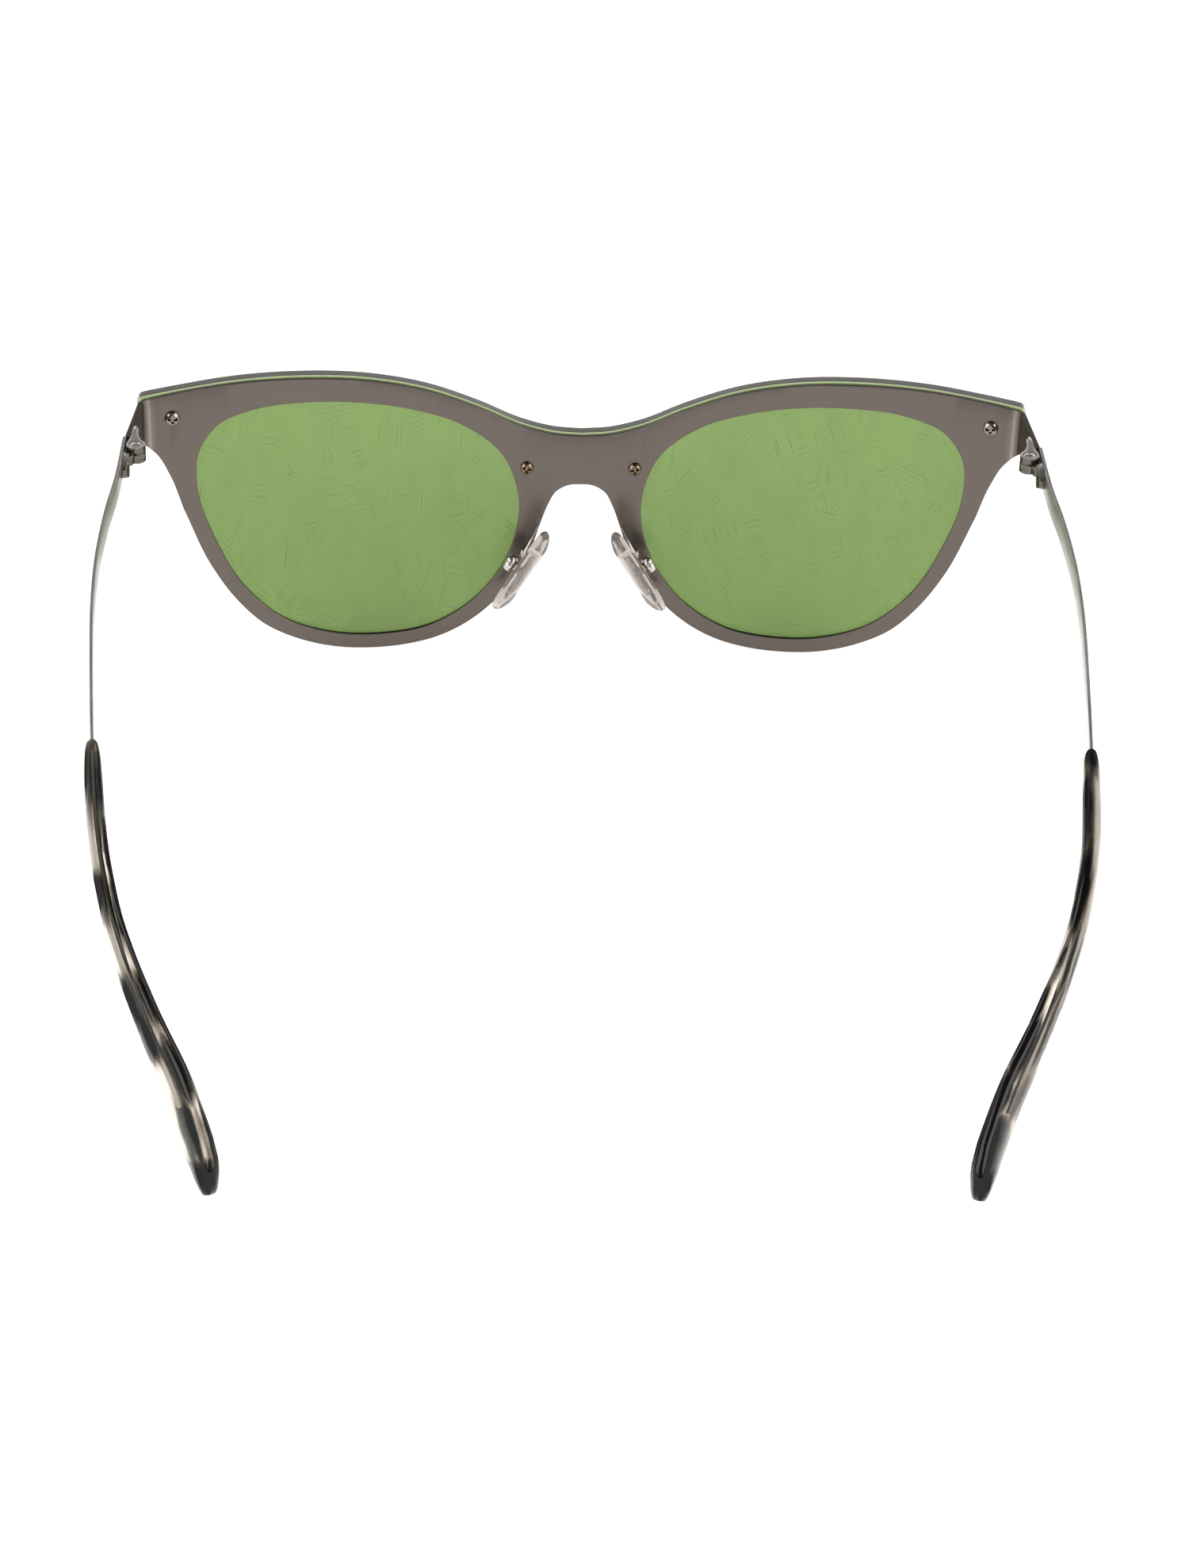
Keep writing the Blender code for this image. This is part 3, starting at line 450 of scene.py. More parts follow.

# The plate's lighter colour at the start of its bends is a painted highlight.
PLATE = metal(
    "front_plate_satin", (0.110, 0.093, 0.081), rough=0.34, grain=(260, 260, 2600),
    grain_depth=0.1, clouds=0.055, spread=0.05, painted_bend_highlight=(0.23, 0.207, 0.185),
)
TEMPLE = metal(
    "temple_satin", (0.47, 0.45, 0.425), rough=0.36, grain=(2600, 70, 2600),
    grain_depth=0.12, clouds=0.07, spread=0.07,
)
# The hinge's lighter colour on its upward faces is painted light from above.
HINGE = metal(
    "hinge_gunmetal", (0.115, 0.10, 0.088), rough=0.24, grain=COARSE,
    grain_depth=0.2, clouds=0.14, spread=0.08, painted_top_light=(0.62, 0.57, 0.52),
)
PIVOT = metal(
    "bright_pivot", (0.78, 0.74, 0.69), rough=0.14, grain=POLISHED,
    grain_depth=0.08, clouds=0.1, spread=0.05,
)
NICKEL = metal(
    "polished_nickel", (0.50, 0.475, 0.44), rough=0.12, grain=POLISHED,
    grain_depth=0.08, clouds=0.1, spread=0.05,
)
SCREW = metal(
    "dark_nickel", (0.19, 0.17, 0.152), rough=0.1, grain=POLISHED,
    grain_depth=0.08, clouds=0.14, spread=0.04,
)
BRONZE = metal(
    "warm_nickel", (0.145, 0.108, 0.07), rough=0.12, grain=POLISHED,
    grain_depth=0.1, clouds=0.16, spread=0.04,
)
ARM = metal(
    "nickel_arm", (0.36, 0.34, 0.315), rough=0.18, grain=(400, 2200, 400),
    grain_depth=0.1, clouds=0.1, spread=0.06,
)
CORE = metal(
    "pad_core_steel", (0.30, 0.265, 0.235), rough=0.28, grain=COARSE,
    grain_depth=0.15, clouds=0.12, spread=0.06,
)
LENS = lens_look()
PAD = clear_look(
    "clear_pad_soft", (0.93, 0.91, 0.89), rough=0.10, ior=1.3,
    tint=(0.60, 0.53, 0.48), density=330.0, through=0.94,
)
BUSH = clear_look(
    "bushing_clear", (0.95, 0.95, 0.92), rough=0.15, ior=1.5, tint=(0.8, 0.8, 0.7), density=100.0
)


# ------------------------------------------------ shape tools


def in_frame(mesh):
    """Takes a bmesh from millimetres in the CAD layout to the frame."""
    bmesh.ops.translate(mesh, verts=mesh.verts, vec=SHIFT)
    bmesh.ops.scale(mesh, verts=mesh.verts, vec=(MM, MM, MM))


def shade_smooth(mesh, sharp):
    """Smooths the faces, and keeps crisp the edges of that many degrees or more."""
    for face in mesh.faces:
        face.smooth = True
    for edge in mesh.edges:
        edge.smooth = edge.calc_face_angle(0.0) < math.radians(sharp)


def swung(mesh, side_name, side):
    """Turns a temple's bmesh outwards about its hinge, by how far that side is splayed."""
    centre = Vector((side * HINGE_X, HINGE_Y, 0))
    turn = Matrix.Rotation(side * SPLAY[side_name], 4, "Z")
    about = Matrix.Translation(centre) @ turn @ Matrix.Translation(-centre)
    bmesh.ops.transform(mesh, matrix=about, verts=mesh.verts)
    return mesh


def piece(name, mesh, look, body, slot, *nodes, sharp=32):
    """An object from a bmesh in millimetres, riding on a body and standing for CAD nodes."""
    in_frame(mesh)
    bmesh.ops.recalc_face_normals(mesh, faces=mesh.faces)
    shade_smooth(mesh, sharp)
    data = bpy.data.meshes.new(name)
    mesh.to_mesh(data)
    mesh.free()
    return finish_piece(name, data, look, body, slot, *nodes)


def finish_piece(name, data, look, body, slot, *nodes):
    obj = bpy.data.objects.new(name, data)
    data.materials.clear()
    data.materials.append(look)
    bpy.context.scene.collection.objects.link(obj)
    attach(obj, body)
    if nodes:
        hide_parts(*nodes)
    return obj


def cut(obj, mesh, operation="DIFFERENCE"):
    """Cuts obj by a bmesh in millimetres, or joins it, for good."""
    bmesh.ops.recalc_face_normals(mesh, faces=mesh.faces)
    in_frame(mesh)
    data = bpy.data.meshes.new("tool")
    mesh.to_mesh(data)
    mesh.free()
    tool = bpy.data.objects.new("tool", data)
    bpy.context.scene.collection.objects.link(tool)
    modifier = obj.modifiers.new("cut", "BOOLEAN")
    modifier.operation = operation
    modifier.solver = "EXACT"
    modifier.object = tool
    graph = bpy.context.evaluated_depsgraph_get()
    done = bpy.data.meshes.new_from_object(obj.evaluated_get(graph))
    obj.modifiers.clear()
    old = obj.data
    obj.data = done
    bpy.data.meshes.remove(old)
    bpy.data.objects.remove(tool)
    work = bmesh.new()
    work.from_mesh(done)
    shade_smooth(work, 32)
    work.to_mesh(done)
    work.free()


def softened_node(name, node, look, body, slot):
    """A copy of a CAD node with its edges rounded over."""
    width, sharp = 0.06, math.radians(25)
    work = bmesh.new()
    work.from_mesh(frame["nodes"][node].data)
    bmesh.ops.remove_doubles(work, verts=work.verts, dist=2e-7)
    bmesh.ops.dissolve_limit(
        work, angle_limit=math.radians(0.6), verts=work.verts, edges=work.edges
    )
    inner = [e for e in work.edges if len(e.link_faces) == 2]
    bmesh.ops.bevel(
        work,
        geom=[e for e in inner if e.calc_face_angle(0.0) > sharp],
        offset=width * MM,
        segments=2,
        affect="EDGES",
        profile=0.6,
        clamp_overlap=True,
    )
    shade_smooth(work, 38)
    data = bpy.data.meshes.new(name)
    work.to_mesh(data)
    work.free()
    return finish_piece(name, data, look, body, slot, node)


def smooth_run(points, steps, closed=False):
    """Points on a smooth curve through the given ones (a Catmull-Rom spline)."""
    pts = [Vector(p) for p in points]
    count = len(pts)
    spans = count if closed else count - 1
    out = []
    for i in range(spans):
        p1, p2 = pts[i], pts[(i + 1) % count]
        p0 = pts[i - 1] if closed or i else p1 * 2 - p2
        p3 = pts[(i + 2) % count] if closed or i + 2 < count else p2 * 2 - p1
        d0 = max((p1 - p0).length, 1e-6)
        d1 = max((p2 - p1).length, 1e-6)
        d2 = max((p3 - p2).length, 1e-6)
        m1 = ((p1 - p0) / d0 * d1 + (p2 - p1) / d1 * d0) / (d0 + d1) * d1
        m2 = ((p2 - p1) / d1 * d2 + (p3 - p2) / d2 * d1) / (d1 + d2) * d1
        for k in range(steps):
            s = k / steps
            out.append(
                p1 * (2 * s**3 - 3 * s**2 + 1)
                + m1 * (s**3 - 2 * s**2 + s)
                + p2 * (3 * s**2 - 2 * s**3)
                + m2 * (s**3 - s**2)
            )
    return out if closed else out + [pts[-1]]


def chain(*runs):
    """One smooth line through runs that share their end points, each (points, steps)."""
    out = []
    for points, steps in runs:
        run = smooth_run(points, steps)
        out += run if not out else run[1:]
    return out


def half_to_whole(half):
    """The right half of an outline, and then its mirror image."""
    left = [Vector((-p[0], p[1])) for p in reversed(half) if p[0] > 0.01]
    return [Vector((p[0], p[1])) for p in half] + left


def circle(centre, radius, count=40):
    turn = 2 * math.pi / count
    return [
        Vector((centre[0] + radius * math.cos(turn * k), centre[1] + radius * math.sin(turn * k)))
        for k in range(count)
    ]


def mirrored(point, side):
    return Vector((side * point[0], point[1], point[2]))


def leaned(x, y, v):
    """The point at height v on the upright front, once the front leans."""
    high, deep = math.cos(LEAN), math.sin(LEAN)
    return Vector((x, y * high + v * deep, v * high - y * deep))


def on_lens(u, v, t):
    """As on_front, but the sheet never bends back."""
    angle = u / BASE_RADIUS
    radius = BASE_RADIUS + t
    return leaned(radius * math.sin(angle), radius * math.cos(angle) - BASE_RADIUS, v)


def on_front(u, v, t):
    """The point of the bent sheet at (u, v), t forward of its rear face."""
    side = -1 if u < 0 else 1
    along = abs(u)
    if along <= BEND_START:
        return on_lens(u, v, t)
    start = BEND_START / BASE_RADIUS
    neutral = BEND_RADIUS + SHEET / 2
    bend_length = BEND_ANGLE * neutral
    inner = BASE_RADIUS - BEND_RADIUS
    angle = start + min(along - BEND_START, bend_length) / neutral
    rest = max(along - BEND_START - bend_length, 0.0)
    outer = BEND_RADIUS + t
    x = inner * math.sin(start) + outer * math.sin(angle) + rest * math.cos(angle)
    y = inner * math.cos(start) - BASE_RADIUS + outer * math.cos(angle) - rest * math.sin(angle)
    return leaned(side * x, y, v)


def front_matrix(u, v, t):
    """A frame on the front: X along u, Y up the sheet, Z forward out of it."""
    here = on_lens(u, v, t)
    along = (on_lens(u + 0.01, v, t) - here).normalized()
    up = Vector((0.0, math.sin(LEAN), math.cos(LEAN)))
    out = (on_lens(u, v, t + 1.0) - here).normalized()
    return Matrix.Translation(here) @ Matrix((along, up, out)).transposed().to_4x4()


def flat_blank(loops, thick, bevel, segments):
    """A flat plate with the loops as its edges and rounded or chamfered rims."""
    curve = bpy.data.curves.new("blank", "CURVE")
    curve.dimensions = "2D"
    curve.fill_mode = "BOTH"
    curve.extrude = thick / 2 - bevel
    curve.bevel_depth = bevel
    curve.bevel_resolution = segments
    curve.offset = -bevel
    for loop in loops:
        spline = curve.splines.new("POLY")
        spline.points.add(len(loop) - 1)
        for point, place in zip(spline.points, loop):
            point.co = (place[0], place[1], 0.0, 1.0)
        spline.use_cyclic_u = True
    obj = bpy.data.objects.new("blank", curve)
    bpy.context.scene.collection.objects.link(obj)
    bpy.context.view_layer.update()
    graph = bpy.context.evaluated_depsgraph_get()
    data = bpy.data.meshes.new_from_object(obj.evaluated_get(graph))
    mesh = bmesh.new()
    mesh.from_mesh(data)
    bpy.data.objects.remove(obj, do_unlink=True)
    bpy.data.curves.remove(curve)
    bpy.data.meshes.remove(data)
    bmesh.ops.remove_doubles(mesh, verts=mesh.verts, dist=0.001)
    bmesh.ops.dissolve_limit(mesh, angle_limit=0.0005, verts=mesh.verts, edges=mesh.edges)
    bmesh.ops.translate(mesh, verts=mesh.verts, vec=(0, 0, thick / 2))
    return mesh


def score(mesh, places):
    """Cuts a flat mesh across at each place and its mirror image, so that it can be bent."""
    for u in sorted(set([-p for p in places] + list(places))):
        everything = mesh.verts[:] + mesh.edges[:] + mesh.faces[:]
        bmesh.ops.bisect_plane(
            mesh, geom=everything, dist=0.0005, plane_co=(u, 0, 0), plane_no=(1, 0, 0)
        )
    bmesh.ops.triangulate(mesh, faces=[f for f in mesh.faces if len(f.verts) > 4])


def bands(mesh, rows):
    """Joins each closed row of vertices to the next with a band of faces."""
    faces = []
    for low, high in zip(rows, rows[1:]):
        for k in range(len(low)):
            after = (k + 1) % len(low)
            faces.append(mesh.faces.new((low[k], low[after], high[after], high[k])))
    return faces


def loft(rings):
    """A closed solid through the rings."""
    mesh = bmesh.new()
    rows = [[mesh.verts.new(p) for p in ring] for ring in rings]
    bands(mesh, rows)
    mesh.faces.new(reversed(rows[0]))
    mesh.faces.new(rows[-1])
    return mesh


def turned(profile, place):
    """A solid of revolution about the place's Z, from (radius, height) pairs."""
    rings = []
    for radius, height in profile:
        rings.append([place @ Vector((p.x, p.y, height)) for p in circle((0, 0), radius)])
    return loft(rings)


def tube(outer, inner, low, high, place, rim):
    """A turned sleeve along Z with rounded outer ends."""
    quarter = [math.pi / 2 * k / 4 for k in range(5)]
    sections = [(inner, low)]
    for angle in quarter:
        sections.append((outer - rim + rim * math.sin(angle), low + rim - rim * math.cos(angle)))
    for angle in quarter:
        sections.append((outer - rim + rim * math.cos(angle), high - rim + rim * math.sin(angle)))
    sections.append((inner, high))
    mesh = bmesh.new()
    rows = []
    for radius, height in sections:
        ring = [place @ Vector((p.x, p.y, height)) for p in circle((0, 0), radius)]
        rows.append([mesh.verts.new(p) for p in ring])
    bands(mesh, rows + rows[:1])
    return mesh


def cross_recess(radius, depth, place):
    wide, thin = radius * 0.76, radius * 0.2
    rings = []
    for height, grow in ((-0.3, 1.25), (depth, 0.55)):
        a, b = wide * grow, thin * (0.7 + 0.3 * grow)
        corners = ((a, -b), (a, b), (b, b), (b, a), (-b, a), (-b, b))
        corners += ((-a, b), (-a, -b), (-b, -b), (-b, -a), (b, -a), (b, -b))
        rings.append([place @ Vector((x, y, height)) for x, y in corners])
    return loft(rings)


def slot_recess(radius, depth, place):
    long, wide = radius * 1.3, radius * 0.15
    corners = ((long, -wide), (long, wide), (-long, wide), (-long, -wide))
    return loft([[place @ Vector((x, y, z)) for x, y in corners] for z in (-0.3, depth)])


def screw(name, node, look, slot, place, *, head, tall, dome, shank, length, turn=0.0,
          recess=cross_recess):
    """A domed screw whose head sits under the place's Z = 0 plane, shank up.

    head is the head's radius and tall its height, of which dome is the rounded share. The
    recess in it is turned about its axis.
    """
    profile = [(head * 0.02, -tall)]
    for k in range(1, 13):
        angle = math.pi / 2 * k / 12
        height = -tall * (1 - dome) - tall * dome * math.cos(angle)
        profile.append((head * math.sin(angle), height))
    profile += [(head, -tall * 0.12), (head * 0.96, 0.0), (shank, 0.0)]
    profile += [(shank, length - shank * 0.3), (shank * 0.7, length)]
    obj = piece(name, turned(profile, place), look, "front", slot, node)
    top = place @ Matrix.Translation((0, 0, -tall)) @ Matrix.Rotation(turn, 4, "Z")
    cut(obj, recess(head, tall * 0.8, top))


# ------------------------------------------------ front plate, lens and their fixings


def build_front():
    lift = math.tan(LEAN) * TEMPLE_TALL
    end = [Vector((ENDPIECE_END, 42.35)), Vector((ENDPIECE_END - lift, 38.55))]
    top = chain((TOP_EDGE, 10), (ENDPIECE_TOP, 6))
    low = chain((ENDPIECE_LOW, 8), (OUTER_EDGE, 9), (NOSE_EDGE, 9))
    loops = [half_to_whole(top + end + low)]
    for _, side in SIDES:
        ring = smooth_run(OPENING, 12, closed=True)
        loops.append([Vector((side * p[0], p[1])) for p in ring])
        for _, u, v, _ in LENS_FIXINGS:
            loops.append(circle((side * u, v), LENS_SHANK + 0.08, 24))
    mesh = flat_blank(loops, SHEET, bevel=0.09, segments=2)
    bend = (BEND_RADIUS + SHEET / 2) * BEND_ANGLE
    score(mesh, [1.6 * k for k in range(42)] + [BEND_START + bend * k / 16 for k in range(-3, 17)])
    # Marks the band at the start of each bend that gets a painted highlight.
    painted_bend_highlight = mesh.verts.layers.float.new("painted_bend_highlight")
    for vert in mesh.verts:
        near = 1 - abs(abs(vert.co.x) - BEND_START - 0.02 * bend) / (0.34 * bend)
        vert[painted_bend_highlight] = max(near, 0.0) ** 1.5
        vert.co = on_front(*vert.co)
    piece("plate", mesh, PLATE, "front", "front_plate", "front_plate")


def shaped_blank(outline, holes, rim):
    """A flat solid with holes, whose rim follows the (how far in, how far forward) profile.

    The rim's first band is marked in the "ground" layer.
    """
    mesh = bmesh.new()
    count = len(outline)
    area = sum(outline[k - 1].cross(outline[k]) for k in range(count))
    way = 1 if area > 0 else -1
    inward = []
    for k in range(count):
        along = (outline[(k + 1) % count] - outline[k - 1]).normalized()
        inward.append(Vector((-along.y, along.x)) * way)
    strips = []
    for inset, height in rim:
        ring = [outline[k] + inward[k] * inset for k in range(count)]
        strips.append([mesh.verts.new((p.x, p.y, height)) for p in ring])
    walls = [strips]
    ends = (rim[0][1], rim[-1][1])
    for hole in holes:
        walls.append([[mesh.verts.new((p.x, p.y, t)) for p in hole] for t in ends])
    ground = mesh.faces.layers.float.new("ground")
    for wall in walls:
        faces = bands(mesh, wall)
        for face in faces[:count] if wall is strips else ():
            face[ground] = 1.0
    for end in (0, -1):
        edges = []
        for wall in walls:
            row = wall[end]
            edges += [mesh.edges.get((row[k - 1], row[k])) for k in range(len(row))]
        bmesh.ops.triangle_fill(mesh, edges=edges, use_beauty=True, use_dissolve=False)
    return mesh


def build_lens():
    runs = ((LENS_TOP, 10), (LENS_CORNER, 8), (LENS_SIDE, 8), (LENS_LOW, 9), (LENS_NOSE, 9))
    holes = []
    for _, side in SIDES:
        for _, u, v, _ in LENS_FIXINGS:
            holes.append(circle((side * u, v), LENS_BUSH + 0.06, 32))
    mesh = shaped_blank(half_to_whole(chain(*runs)), holes, LENS_RIM)
    score(mesh, [1.6 * k for k in range(43)])
    for vert in mesh.verts:
        vert.co = on_lens(vert.co.x, vert.co.y, vert.co.z + LENS_BACK)
    piece("shield", mesh, LENS, "front", "lens", "lens_shield", sharp=25)


def build_lens_fixings():
    front = LENS_BACK + LENS_THICK
    for side_name, side in SIDES:
        for place_name, u, v, head in LENS_FIXINGS:
            tag = f"{place_name}_{side_name}"
            place = front_matrix(side * u, v, 0.0)
            outer = place_name == "outer"
            look, slot = (SCREW, "screw") if outer else (BRONZE, "bridge_screw")
            screw(
                f"screw_{tag}", f"lens_screw_{tag}", look, slot,
                place @ Matrix.Translation((0, 0, -0.04)),
                head=head, tall=0.62, dome=0.8, shank=LENS_SHANK, length=front + 0.95,
                turn=(0.05 if outer else 0.2) * side,
            )
            bore = LENS_SHANK + 0.06
            bush = tube(LENS_BUSH, bore, LENS_BACK - 0.05, front + 0.03, place, 0.08)
            piece(f"bush_{tag}", bush, BUSH, "front", "bushing", f"lens_bushing_{tag}")
            nut = tube(head + 0.15, LENS_SHANK + 0.05, front + 0.08, front + 1.0, place, 0.2)
            piece(f"nut_{tag}", nut, look, "front", slot, f"lens_nut_{tag}")


# ------------------------------------------------ temples and tips


def temple_x(y):
    """The temple's x at a y, on a smooth curve through TEMPLE_PLAN."""
    pts = TEMPLE_PLAN
    i = 0
    while i < len(pts) - 2 and y < pts[i + 1][0]:
        i += 1
    slopes = []
    for j in (i, i + 1):
        a, b = pts[max(j - 1, 0)], pts[min(j + 1, len(pts) - 1)]
        slopes.append((b[1] - a[1]) / (b[0] - a[0]))
    (y0, x0), (y1, x1) = pts[i], pts[i + 1]
    span = y1 - y0
    s = (y - y0) / span
    return (
        x0 * (2 * s**3 - 3 * s**2 + 1)
        + slopes[0] * span * (s**3 - 2 * s**2 + s)
        + x1 * (3 * s**2 - 2 * s**3)
        + slopes[1] * span * (s**3 - s**2)
    )


def temple_point(s):
    """The middle of the temple, s along it from the hinge."""
    z_start = TEMPLE_TOP_Z - TEMPLE_TALL / 2
    straight = (TEMPLE_START - EAR_BEND_START) / math.cos(TEMPLE_SLOPE)
    bend = EAR_BEND_RADIUS * (EAR_BEND_END - TEMPLE_SLOPE)
    first = min(s, straight)
    y = TEMPLE_START - first * math.cos(TEMPLE_SLOPE)
    z = z_start - first * math.sin(TEMPLE_SLOPE)
    if s > straight:
        angle = TEMPLE_SLOPE + min(s - straight, bend) / EAR_BEND_RADIUS
        y -= EAR_BEND_RADIUS * (math.sin(angle) - math.sin(TEMPLE_SLOPE))
        z -= EAR_BEND_RADIUS * (math.cos(TEMPLE_SLOPE) - math.cos(angle))
    rest = s - straight - bend
    if rest > 0:
        y -= rest * math.cos(EAR_BEND_END)
        z -= rest * math.sin(EAR_BEND_END)
    return Vector((temple_x(y), y, z))


def temple_frame(s, reach=1.2):
    """The temple's middle at s, and its outward and upward directions there."""
    here = temple_point(s)
    forward = (temple_point(s - reach) - temple_point(s + reach)).normalized()
    up = (Vector((0, 0, 1)) - forward * forward.z).normalized()
    return here, forward.cross(up).normalized(), up


def between(pairs, s):
    """The size at s, on straight lines between the (how far along, size) pairs."""
    for (s0, v0), (s1, v1) in zip(pairs, pairs[1:]):
        if s <= s1:
            return v0 + (v1 - v0) * max(s - s0, 0.0) / (s1 - s0)
    return pairs[-1][1]


def eased(pairs, s):
    """The size at s, as between gives it, with its corners smoothed out."""
    reach = min(2.5, (s - TIP_MOUTH) * 0.6)
    return sum(between(pairs, s + reach * k / 3) for k in range(-3, 4)) / 7


def strip_ring(s, side, upright=False):
    here, out, up = temple_frame(s, 0.4)
    if upright:
        out, up = Vector((1, 0, 0)), Vector((0, 0, 1))
    half = between(STRIP_TALL, s) / 2
    wide = TEMPLE_THICK / 2
    r = 0.11
    ring = []
    for cx, cy, first in ((1, 1, 0), (-1, 1, 90), (-1, -1, 180), (1, -1, 270)):
        for k in range(4):
            angle = math.radians(first + 30 * k)
            a = cx * (wide - r) + r * math.cos(angle)
            b = cy * (half - r) + r * math.sin(angle)
            ring.append(mirrored(here + out * a + up * b, side))
    return ring


def build_temple(side_name, side):
    stops = [0] + [1.5 * k for k in range(1, int(CORE_END / 1.5) + 1)] + [CORE_END]
    strip = loft([strip_ring(s, side, upright=(s == 0)) for s in stops])
    swung(strip, side_name, side)
    body = f"temple_{side_name}"
    piece(f"strip_{side_name}", strip, TEMPLE, body, "temple", f"temple_{side_name}")


def tip_ring(s, side, shrink):
    _, out, up = temple_frame(min(s, TIP_END - 1.3))
    here = temple_point(s)
    wide = eased(TIP_THICK, s) / 2 * (0.35 + 0.65 * shrink)
    half = eased(TIP_TALL, s) / 2 * shrink
    ring = []
    for k in range(TIP_AROUND):
        angle = 2 * math.pi * k / TIP_AROUND
        c, n = math.cos(angle), math.sin(angle)
        a = math.copysign(abs(c) ** 0.85, c) * wide * 1.04
        b = math.copysign(abs(n) ** 0.9, n) * half
        ring.append(mirrored(here + out * a + up * b, side))
    return ring


def tip_slot(side):
    """The cut that the strip enters at the tip's mouth."""
    rings = []
    for s, play in ((TIP_MOUTH - 1, 0.16), (TIP_MOUTH + 0.4, 0.16), (TIP_MOUTH + 2.4, 0.04)):
        here, out, up = temple_frame(s, 0.4)
        half = between(STRIP_TALL, s) / 2 + 0.1
        wide = TEMPLE_THICK / 2 + play
        corners = ((-wide, -half), (wide, -half), (wide, half), (-wide, half))
        rings.append([mirrored(here + out * a + up * b, side) for a, b in corners])
    return loft(rings)


def build_tip(side_name, side, look):
    stops = [TIP_MOUTH + 0.02, TIP_MOUTH + 0.25, 75.2, 76] + list(range(77, 135))
    shrinks = [1.0] * len(stops)
    for k in range(1, 18):
        angle = math.pi / 2 * k / 17.6
        stops.append(TIP_END - TIP_ROUNDING + TIP_ROUNDING * math.sin(angle))
        shrinks.append(math.cos(angle))
    rings = [tip_ring(s, side, shrink) for s, shrink in zip(stops, shrinks)]
    centre = sum(rings[0], Vector()) / TIP_AROUND
    rings[0] = [centre + (p - centre) * 0.93 for p in rings[0]]
    mesh = loft(rings)
    layer = mesh.loops.layers.uv.new("run")
    mesh.verts.index_update()
    middles = [sum(p.x for p in ring) / TIP_AROUND for ring in rings]
    reaches = [max(abs(p.x - middle) for p in ring) for ring, middle in zip(rings, middles)]
    for face in mesh.faces:
        for loop in face.loops:
            row = loop.vert.index // TIP_AROUND
            across = side * (loop.vert.co.x - middles[row]) / reaches[row]
            loop[layer].uv = (stops[row], across)
    swung(mesh, side_name, side)
    body, node = f"temple_{side_name}", f"temple_tip_{side_name}"
    obj = piece(f"tip_{side_name}", mesh, look, body, "temple_tip", node, sharp=50)
    cut(obj, swung(tip_slot(side), side_name, side))


# ------------------------------------------------ nose pads and hinges


def pad_matrix(side):
    """The pad's frame: X along it, Y across it and Z out of the face that meets the nose."""
    across = PAD_FACE.cross(PAD_LONG).normalized()
    face = PAD_LONG.cross(across).normalized()
    axes = [mirrored(a, side) for a in (PAD_LONG, across, face)]
    turn = Matrix(axes).transposed().to_4x4()
    return Matrix.Translation(mirrored(PAD_CENTRE, side)) @ turn


def pad_ring(inset, height, place):
    ring = []
    for k in range(PAD_AROUND):
        angle = 2 * math.pi * (k + 0.5) / PAD_AROUND
        c, s = math.cos(angle), math.sin(angle)
        x = math.copysign(abs(c) ** 0.96, c) * (PAD_LENGTH / 2 - inset)
        widen = 1 + 0.1 * x / PAD_LENGTH
        y = math.copysign(abs(s) ** 0.96, s) * (PAD_WIDTH / 2 - inset) * widen
        ring.append(place @ Vector((x, y, height)))
    return ring


def block(size, place, height, width=0.0, segments=3):
    """A box centred at that height in the place, with its edges rounded to that width."""
    mesh = bmesh.new()
    bmesh.ops.create_cube(mesh, size=1.0)
    bmesh.ops.scale(mesh, verts=mesh.verts, vec=size)
    if width:
        bmesh.ops.bevel(
            mesh, geom=mesh.edges[:], offset=width, segments=segments, affect="EDGES", profile=0.5
        )
    there = place @ Matrix.Translation((0, 0, height))
    bmesh.ops.transform(mesh, matrix=there, verts=mesh.verts)
    return mesh


def build_nose_pad(side_name, side):
    place = pad_matrix(side)
    half = PAD_THICK / 2
    body = f"pad_{side_name}"
    profile = [(inset, rise - half) for inset, rise in PAD_UNDER]
    profile += [(inset, half - drop) for inset, drop in PAD_OVER]
    mesh = loft([pad_ring(p.x, p.y, place) for p in smooth_run(profile, 3)])
    pad = piece(f"pad_{side_name}", mesh, PAD, body, "nose_pad", f"nose_pad_{side_name}")
    cut(pad, block((7.3, 2.7, 1.6), place, 0.55 - half, 0.12))

    insert = block((7.1, 2.5, 0.5), place, -0.15, 0.14)
    node = f"nose_pad_core_{side_name}"
    core = piece(f"insert_{side_name}", insert, CORE, body, "pad_core", node)
    cut(core, block((1.1, 0.9, 2.6), place, -1.6, 0.08), "UNION")
    across = place @ Matrix.Translation((0, 0, -2.35)) @ Matrix.Rotation(-math.pi / 2, 4, "X")
    cut(core, turned(((0.38, -2.0), (0.38, 2.0)), across))

    case = block((2.6, 2.3, 1.75), place, -2.42, 0.8, 7)
    box = piece(f"box_{side_name}", case, NICKEL, "front", "pad_arm", f"nose_pad_box_{side_name}")
    cut(box, block((1.75, 1.15, 2.0), place, -2.05))
    cut(box, turned(((0.36, -2.0), (0.36, 2.0)), across))
    screw(
        f"box_screw_{side_name}", f"nose_pad_screw_{side_name}", NICKEL, "screw",
        across @ Matrix.Translation((0, 0, 1.2)) @ Matrix.Rotation(math.pi, 4, "X"),
        head=0.62, tall=0.42, dome=0.7, shank=0.3, length=2.3, turn=0.5, recess=slot_recess,
    )
    softened_node(f"arm_{side_name}", f"nose_pad_arm_{side_name}", ARM, "front", "pad_arm")


def build_hinges(side_name, side):
    body = f"temple_{side_name}"
    softened_node(f"knuckles_{side_name}", f"hinge_front_{side_name}", HINGE, "front", "hinge")
    softened_node(f"tongue_{side_name}", f"hinge_temple_{side_name}", HINGE, body, "hinge")
    seat = Matrix.Translation((side * HINGE_X, HINGE_Y, HINGE_TOP - 0.36))
    screw(
        f"pivot_{side_name}", f"hinge_screw_{side_name}", PIVOT, "screw",
        seat @ Matrix.Rotation(math.pi, 4, "X"),
        head=0.95, tall=0.4, dome=0.4, shank=PIN_RADIUS, length=2.05,
    )


# ------------------------------------------------ floor, light and camera


